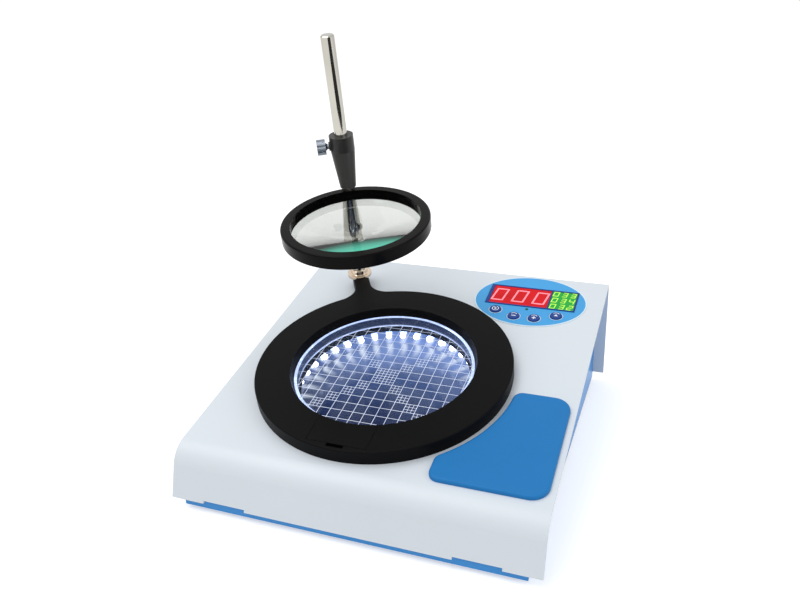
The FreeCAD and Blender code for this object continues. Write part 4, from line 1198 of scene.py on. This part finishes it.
class COUNTER_OT_palm_pad(bpy.types.Operator):
    """Build the soft palm pad with a rolled edge and a shallow dip"""

    bl_idname = "counter.palm_pad"
    bl_label = "Palm pad"

    def execute(self, context):
        pad = context.scene.counter_pad
        low, high = deck_span("palm_rest")
        height = high.z - low.z
        outline = even_outline(base_outline("palm_rest"), 1.6 * MM)
        if len(outline) < 40:
            raise RuntimeError("the palm rest's outline wasn't found")
        steps = [0.0, 0.15, 0.45, 0.9, 1.4, 2.0, 3.2, 4.6]
        loops = [outline] + [inner_loop(outline, s * MM) for s in steps[1:]]
        flat = [p for loop in loops for p in loop]
        pitch = 3.2 * MM
        for row in range(int((high.y - low.y) / pitch) + 1):
            for column in range(int((high.x - low.x) / pitch) + 1):
                shift = pitch / 2 if row % 2 else 0.0
                point = Vector((low.x + column * pitch + shift, low.y + row * pitch))
                if inside(outline, point) and distance_to(outline, point) > 6.0 * MM:
                    flat.append(point)
        count = len(outline)
        rim_edges = [(i, (i + 1) % count) for i in range(count)]
        points, _, faces, _, _, _ = delaunay_2d_cdt(flat, rim_edges, [], 1, 1e-7)
        top_heights = [pad_height(distance_to(outline, p), height, pad) for p in points]
        verts = [(p.x, p.y, low.z + h) for p, h in zip(points, top_heights)]
        lower = len(verts)
        verts += [(p.x, p.y, low.z) for p in points]
        sides = [(i, lower + i, lower + (i + 1) % count, (i + 1) % count) for i in range(count)]
        solid = [tuple(f) for f in faces] + [tuple(lower + i for i in reversed(f)) for f in faces] + sides
        bm = bmesh.new()
        bm.from_mesh(mesh_from("palm_pad_blank", verts, solid))
        made = finish_mesh(bm, "palm_pad", DECK)
        for face in made.data.polygons:
            face.use_smooth = True
        made.data.set_sharp_from_angle(angle=math.radians(50))
        colour = tuple(pad.colour)
        soft = surface(
            "palm_rubber", colour, tuple(c * 0.93 for c in colour), 0.5, 0.06, 1100.0, 12.0, 0.3, 0.00012,
            marks=0.1, specular=0.25,
        )
        soft.node_tree.nodes["Principled BSDF"].inputs["Sheen Weight"].default_value = 0.03
        made.data.materials.append(soft)
        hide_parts("palm_rest")
        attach(made, "housing")
        return {"FINISHED"}


class COUNTER_OT_electronics(bpy.types.Operator):
    """Finish the boards and their components, and solder the display board"""

    bl_idname = "counter.electronics"
    bl_label = "Electronics"

    def execute(self, context):
        black = surface(
            "component_black", (0.015, 0.015, 0.016), (0.025, 0.025, 0.026), 0.5, 0.08, 2200.0, 60.0
        )
        anodised = surface(
            "heat_sink_black", (0.02, 0.02, 0.022), (0.035, 0.035, 0.038), 0.4, 0.08, 2600.0, 40.0,
            metallic=0.6
        )
        sleeve = surface("capacitor_sleeve", (0.03, 0.05, 0.14), (0.04, 0.06, 0.17), 0.3, 0.05, 1500.0, 40.0)
        nylon = surface("header_nylon", (0.7, 0.7, 0.66), (0.62, 0.62, 0.58), 0.45, 0.05, 1500.0, 40.0)
        brass = surface(
            "standoff_brass", (0.7, 0.5, 0.2), (0.6, 0.42, 0.16), 0.3, 0.08, 2600.0, 90.0, metallic=1.0
        )
        tin = surface(
            "solder_tin", (0.6, 0.6, 0.62), (0.5, 0.5, 0.52), 0.28, 0.06, 2600.0, 90.0, metallic=1.0
        )
        paint("main_board", board_material("main_board_mask", 2))
        paint("display_board", board_material("display_board_mask", 3))
        paint("processor", black)
        paint("regulator", black)
        paint("buzzer", black)
        paint("button_switches", black)
        paint("heat_sink", anodised)
        paint("capacitors", sleeve)
        paint("board_headers", nylon)
        paint("main_standoffs", brass)
        paint("display_standoffs", brass)
        low, high = deck_span("display_board")
        height = 0.7 * MM
        rows, columns = 2, 12
        places = []
        for row in range(rows):
            for column in range(columns):
                u = low.x + (high.x - low.x) * (0.16 + 0.68 * column / (columns - 1))
                v = low.y + (high.y - low.y) * (0.42 + 0.36 * row)
                places.append((u, v, low.z - height))
        seed = mesh_from("solder_places", places, [])
        sizes = {"Radius": 0.75 * MM, "Height": height}
        joints = grown("display_solder", solder_tree(), tin, sizes, DECK, seed)
        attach(joints, "housing")
        return {"FINISHED"}


class COUNTER_OT_rear_ports(bpy.types.Operator):
    """Finish the power rocker and the inlet"""

    bl_idname = "counter.rear_ports"
    bl_label = "Rear ports"

    def execute(self, context):
        black = surface(
            "port_plastic", (0.014, 0.014, 0.015), (0.022, 0.022, 0.024), 0.42, 0.07, 2000.0, 50.0
        )
        gloss = surface(
            "rocker_plastic", (0.01, 0.01, 0.01), (0.016, 0.016, 0.016), 0.22, 0.05, 1200.0, 50.0, 0.06
        )
        nickel = surface(
            "inlet_nickel", (0.6, 0.6, 0.6), (0.5, 0.5, 0.5), 0.3, 0.08, 2600.0, 90.0, metallic=1.0
        )
        paint("rocker_housing", black)
        paint("power_inlet", black)
        paint("power_rocker", gloss)
        paint("inlet_nut", nickel)
        return {"FINISHED"}


def plain_rays(tree):
    """1 for what the camera sees directly, by reflection or through glass."""
    path = tree.nodes.new("ShaderNodeLightPath").outputs
    mirrored = math_node(tree, "MAXIMUM", path["Is Camera Ray"], path["Is Glossy Ray"])
    return math_node(tree, "MAXIMUM", mirrored, path["Is Transmission Ray"])


def stage_floor():
    reach = 40.0
    corners = [(-reach, -reach, 0), (reach, -reach, 0), (reach, reach, 0), (-reach, reach, 0)]
    mesh = mesh_from("floor", corners, [(0, 1, 2, 3)])
    floor = new_object("floor", mesh)
    material, tree, shader = blank_material("pale_floor")
    shader.inputs["Base Color"].default_value = (0.8, 0.8, 0.8, 1)
    shader.inputs["Roughness"].default_value = 0.9
    shader.inputs["Specular IOR Level"].default_value = 0.0
    shader.inputs["Emission Color"].default_value = (1, 1, 1, 1)
    lift = math_node(tree, "MULTIPLY", plain_rays(tree), 0.52)
    tree.links.new(lift, shader.inputs["Emission Strength"])
    mesh.materials.append(material)
    floor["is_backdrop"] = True


def stage_world(strength):
    world = bpy.data.worlds.new("pale_surroundings")
    bpy.context.scene.world = world
    world.use_nodes = True
    tree = world.node_tree
    background = tree.nodes["Background"]
    background.inputs["Color"].default_value = (1.0, 1.0, 1.0, 1)
    tree.links.new(remap(tree, plain_rays(tree), 0, 1, strength, 1.0), background.inputs["Strength"])


def dark_flag(name, corners):
    """A dark studio card that only shows as a streak in polished metal."""
    flag = new_object(name, mesh_from(name, corners, [tuple(range(len(corners)))]))
    material, _, shader = blank_material(name)
    shader.inputs["Base Color"].default_value = (0.01, 0.01, 0.01, 1)
    shader.inputs["Roughness"].default_value = 1.0
    flag.data.materials.append(material)
    flag.visible_camera = False
    flag.visible_diffuse = False
    flag.visible_transmission = False
    flag.visible_shadow = False
    flag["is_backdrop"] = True


def soft_lamp(name, place, aim, size, power, colour):
    light = bpy.data.lights.new(name, "AREA")
    light.shape = "RECTANGLE"
    light.size, light.size_y = size
    light.energy = power
    light.color = colour
    lamp = bpy.data.objects.new(name, light)
    bpy.context.scene.collection.objects.link(lamp)
    lamp.location = place
    lamp.rotation_mode = "QUATERNION"
    lamp.rotation_quaternion = (Vector(aim) - Vector(place)).to_track_quat("-Z", "Y")


class COUNTER_OT_stage(bpy.types.Operator):
    """Set the floor, the light and the camera"""

    bl_idname = "counter.stage"
    bl_label = "Stage"

    def execute(self, context):
        scene = context.scene
        stage = scene.counter_stage
        scene.view_settings.view_transform = "Standard"
        stage_floor()
        stage_world(stage.ambient)
        low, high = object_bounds()
        aim = (low + high) / 2
        soft_lamp("key_lamp", (-0.7, -0.5, 2.0), aim, (1.8, 1.4), stage.key_power, (1.0, 1.0, 1.0))
        soft_lamp("fill_lamp", (1.8, -0.4, 0.9), aim, (1.2, 1.2), stage.fill_power, (0.97, 0.985, 1.0))
        foot = Vector(stage.flag_place)
        # The card runs out from the post, the way that its camera side mirrors the floor.
        outward, side = Vector((0.476, -0.88, 0)), Vector((0.88, 0.476, 0))
        far = foot + outward * stage.flag_reach
        half = side * stage.flag_width / 2
        right = side * stage.flag_spread
        near_right = foot + right - outward * stage.flag_reach / 3
        corners = [foot - half, far - half, far + right, near_right, foot + half]
        dark_flag("dark_flag", corners)
        ahead = Vector((
            -math.sin(stage.heading) * math.cos(stage.pitch),
            math.cos(stage.heading) * math.cos(stage.pitch),
            -math.sin(stage.pitch),
        ))
        level = Vector((math.cos(stage.heading), math.sin(stage.heading), 0))
        upright = level.cross(ahead)
        right = level * math.cos(stage.roll) - upright * math.sin(stage.roll)
        up = level * math.sin(stage.roll) + upright * math.cos(stage.roll)
        data = bpy.data.cameras.new("camera")
        data.lens = stage.focal_length
        data.sensor_width = 36.0
        data.clip_start = 0.01
        data.clip_end = 200.0
        camera = bpy.data.objects.new("camera", data)
        scene.collection.objects.link(camera)
        turn = Matrix((right, up, -ahead)).transposed()
        camera.matrix_world = Matrix.Translation(Vector(stage.camera_place)) @ turn.to_4x4()
        scene.camera = camera
        return {"FINISHED"}


class COUNTER_PT_sidebar(bpy.types.Panel):
    """The counter's pieces and settings in the sidebar"""

    bl_idname = "COUNTER_PT_sidebar"
    bl_label = "Colony counter"
    bl_space_type = "VIEW_3D"
    bl_region_type = "UI"
    bl_category = "Colony counter"

    def draw(self, context):
        layout = self.layout
        for attribute, kind in SETTINGS:
            box = layout.box()
            box.label(text=kind.__doc__)
            for name in kind.__annotations__:
                box.prop(getattr(context.scene, attribute), name)
        for kind in OPERATORS:
            layout.operator(kind.bl_idname)


SETTINGS = [
    ("counter_housing", HousingSettings),
    ("counter_well", WellSettings),
    ("counter_panel", PanelSettings),
    ("counter_pad", PadSettings),
    ("counter_stage", StageSettings),
]
OPERATORS = [
    COUNTER_OT_housing,
    COUNTER_OT_ring,
    COUNTER_OT_light_well,
    COUNTER_OT_platform,
    COUNTER_OT_post,
    COUNTER_OT_magnifier,
    COUNTER_OT_panel,
    COUNTER_OT_buttons,
    COUNTER_OT_palm_pad,
    COUNTER_OT_electronics,
    COUNTER_OT_rear_ports,
    COUNTER_OT_stage,
]


def register():
    for kind in [kind for _, kind in SETTINGS] + OPERATORS + [COUNTER_PT_sidebar]:
        bpy.utils.register_class(kind)
    for attribute, kind in SETTINGS:
        setattr(bpy.types.Scene, attribute, bpy.props.PointerProperty(type=kind))


def unregister():
    for attribute, _ in SETTINGS:
        delattr(bpy.types.Scene, attribute)
    for kind in reversed([kind for _, kind in SETTINGS] + OPERATORS + [COUNTER_PT_sidebar]):
        bpy.utils.unregister_class(kind)


def main():
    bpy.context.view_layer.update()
    register()
    bpy.ops.counter.housing()
    bpy.ops.counter.ring()
    bpy.ops.counter.light_well()
    bpy.ops.counter.platform()
    bpy.ops.counter.post()
    bpy.ops.counter.magnifier()
    bpy.ops.counter.panel()
    bpy.ops.counter.buttons()
    bpy.ops.counter.palm_pad()
    bpy.ops.counter.electronics()
    bpy.ops.counter.rear_ports()
    bpy.ops.counter.stage()


if __name__ == "__main__":
    main()
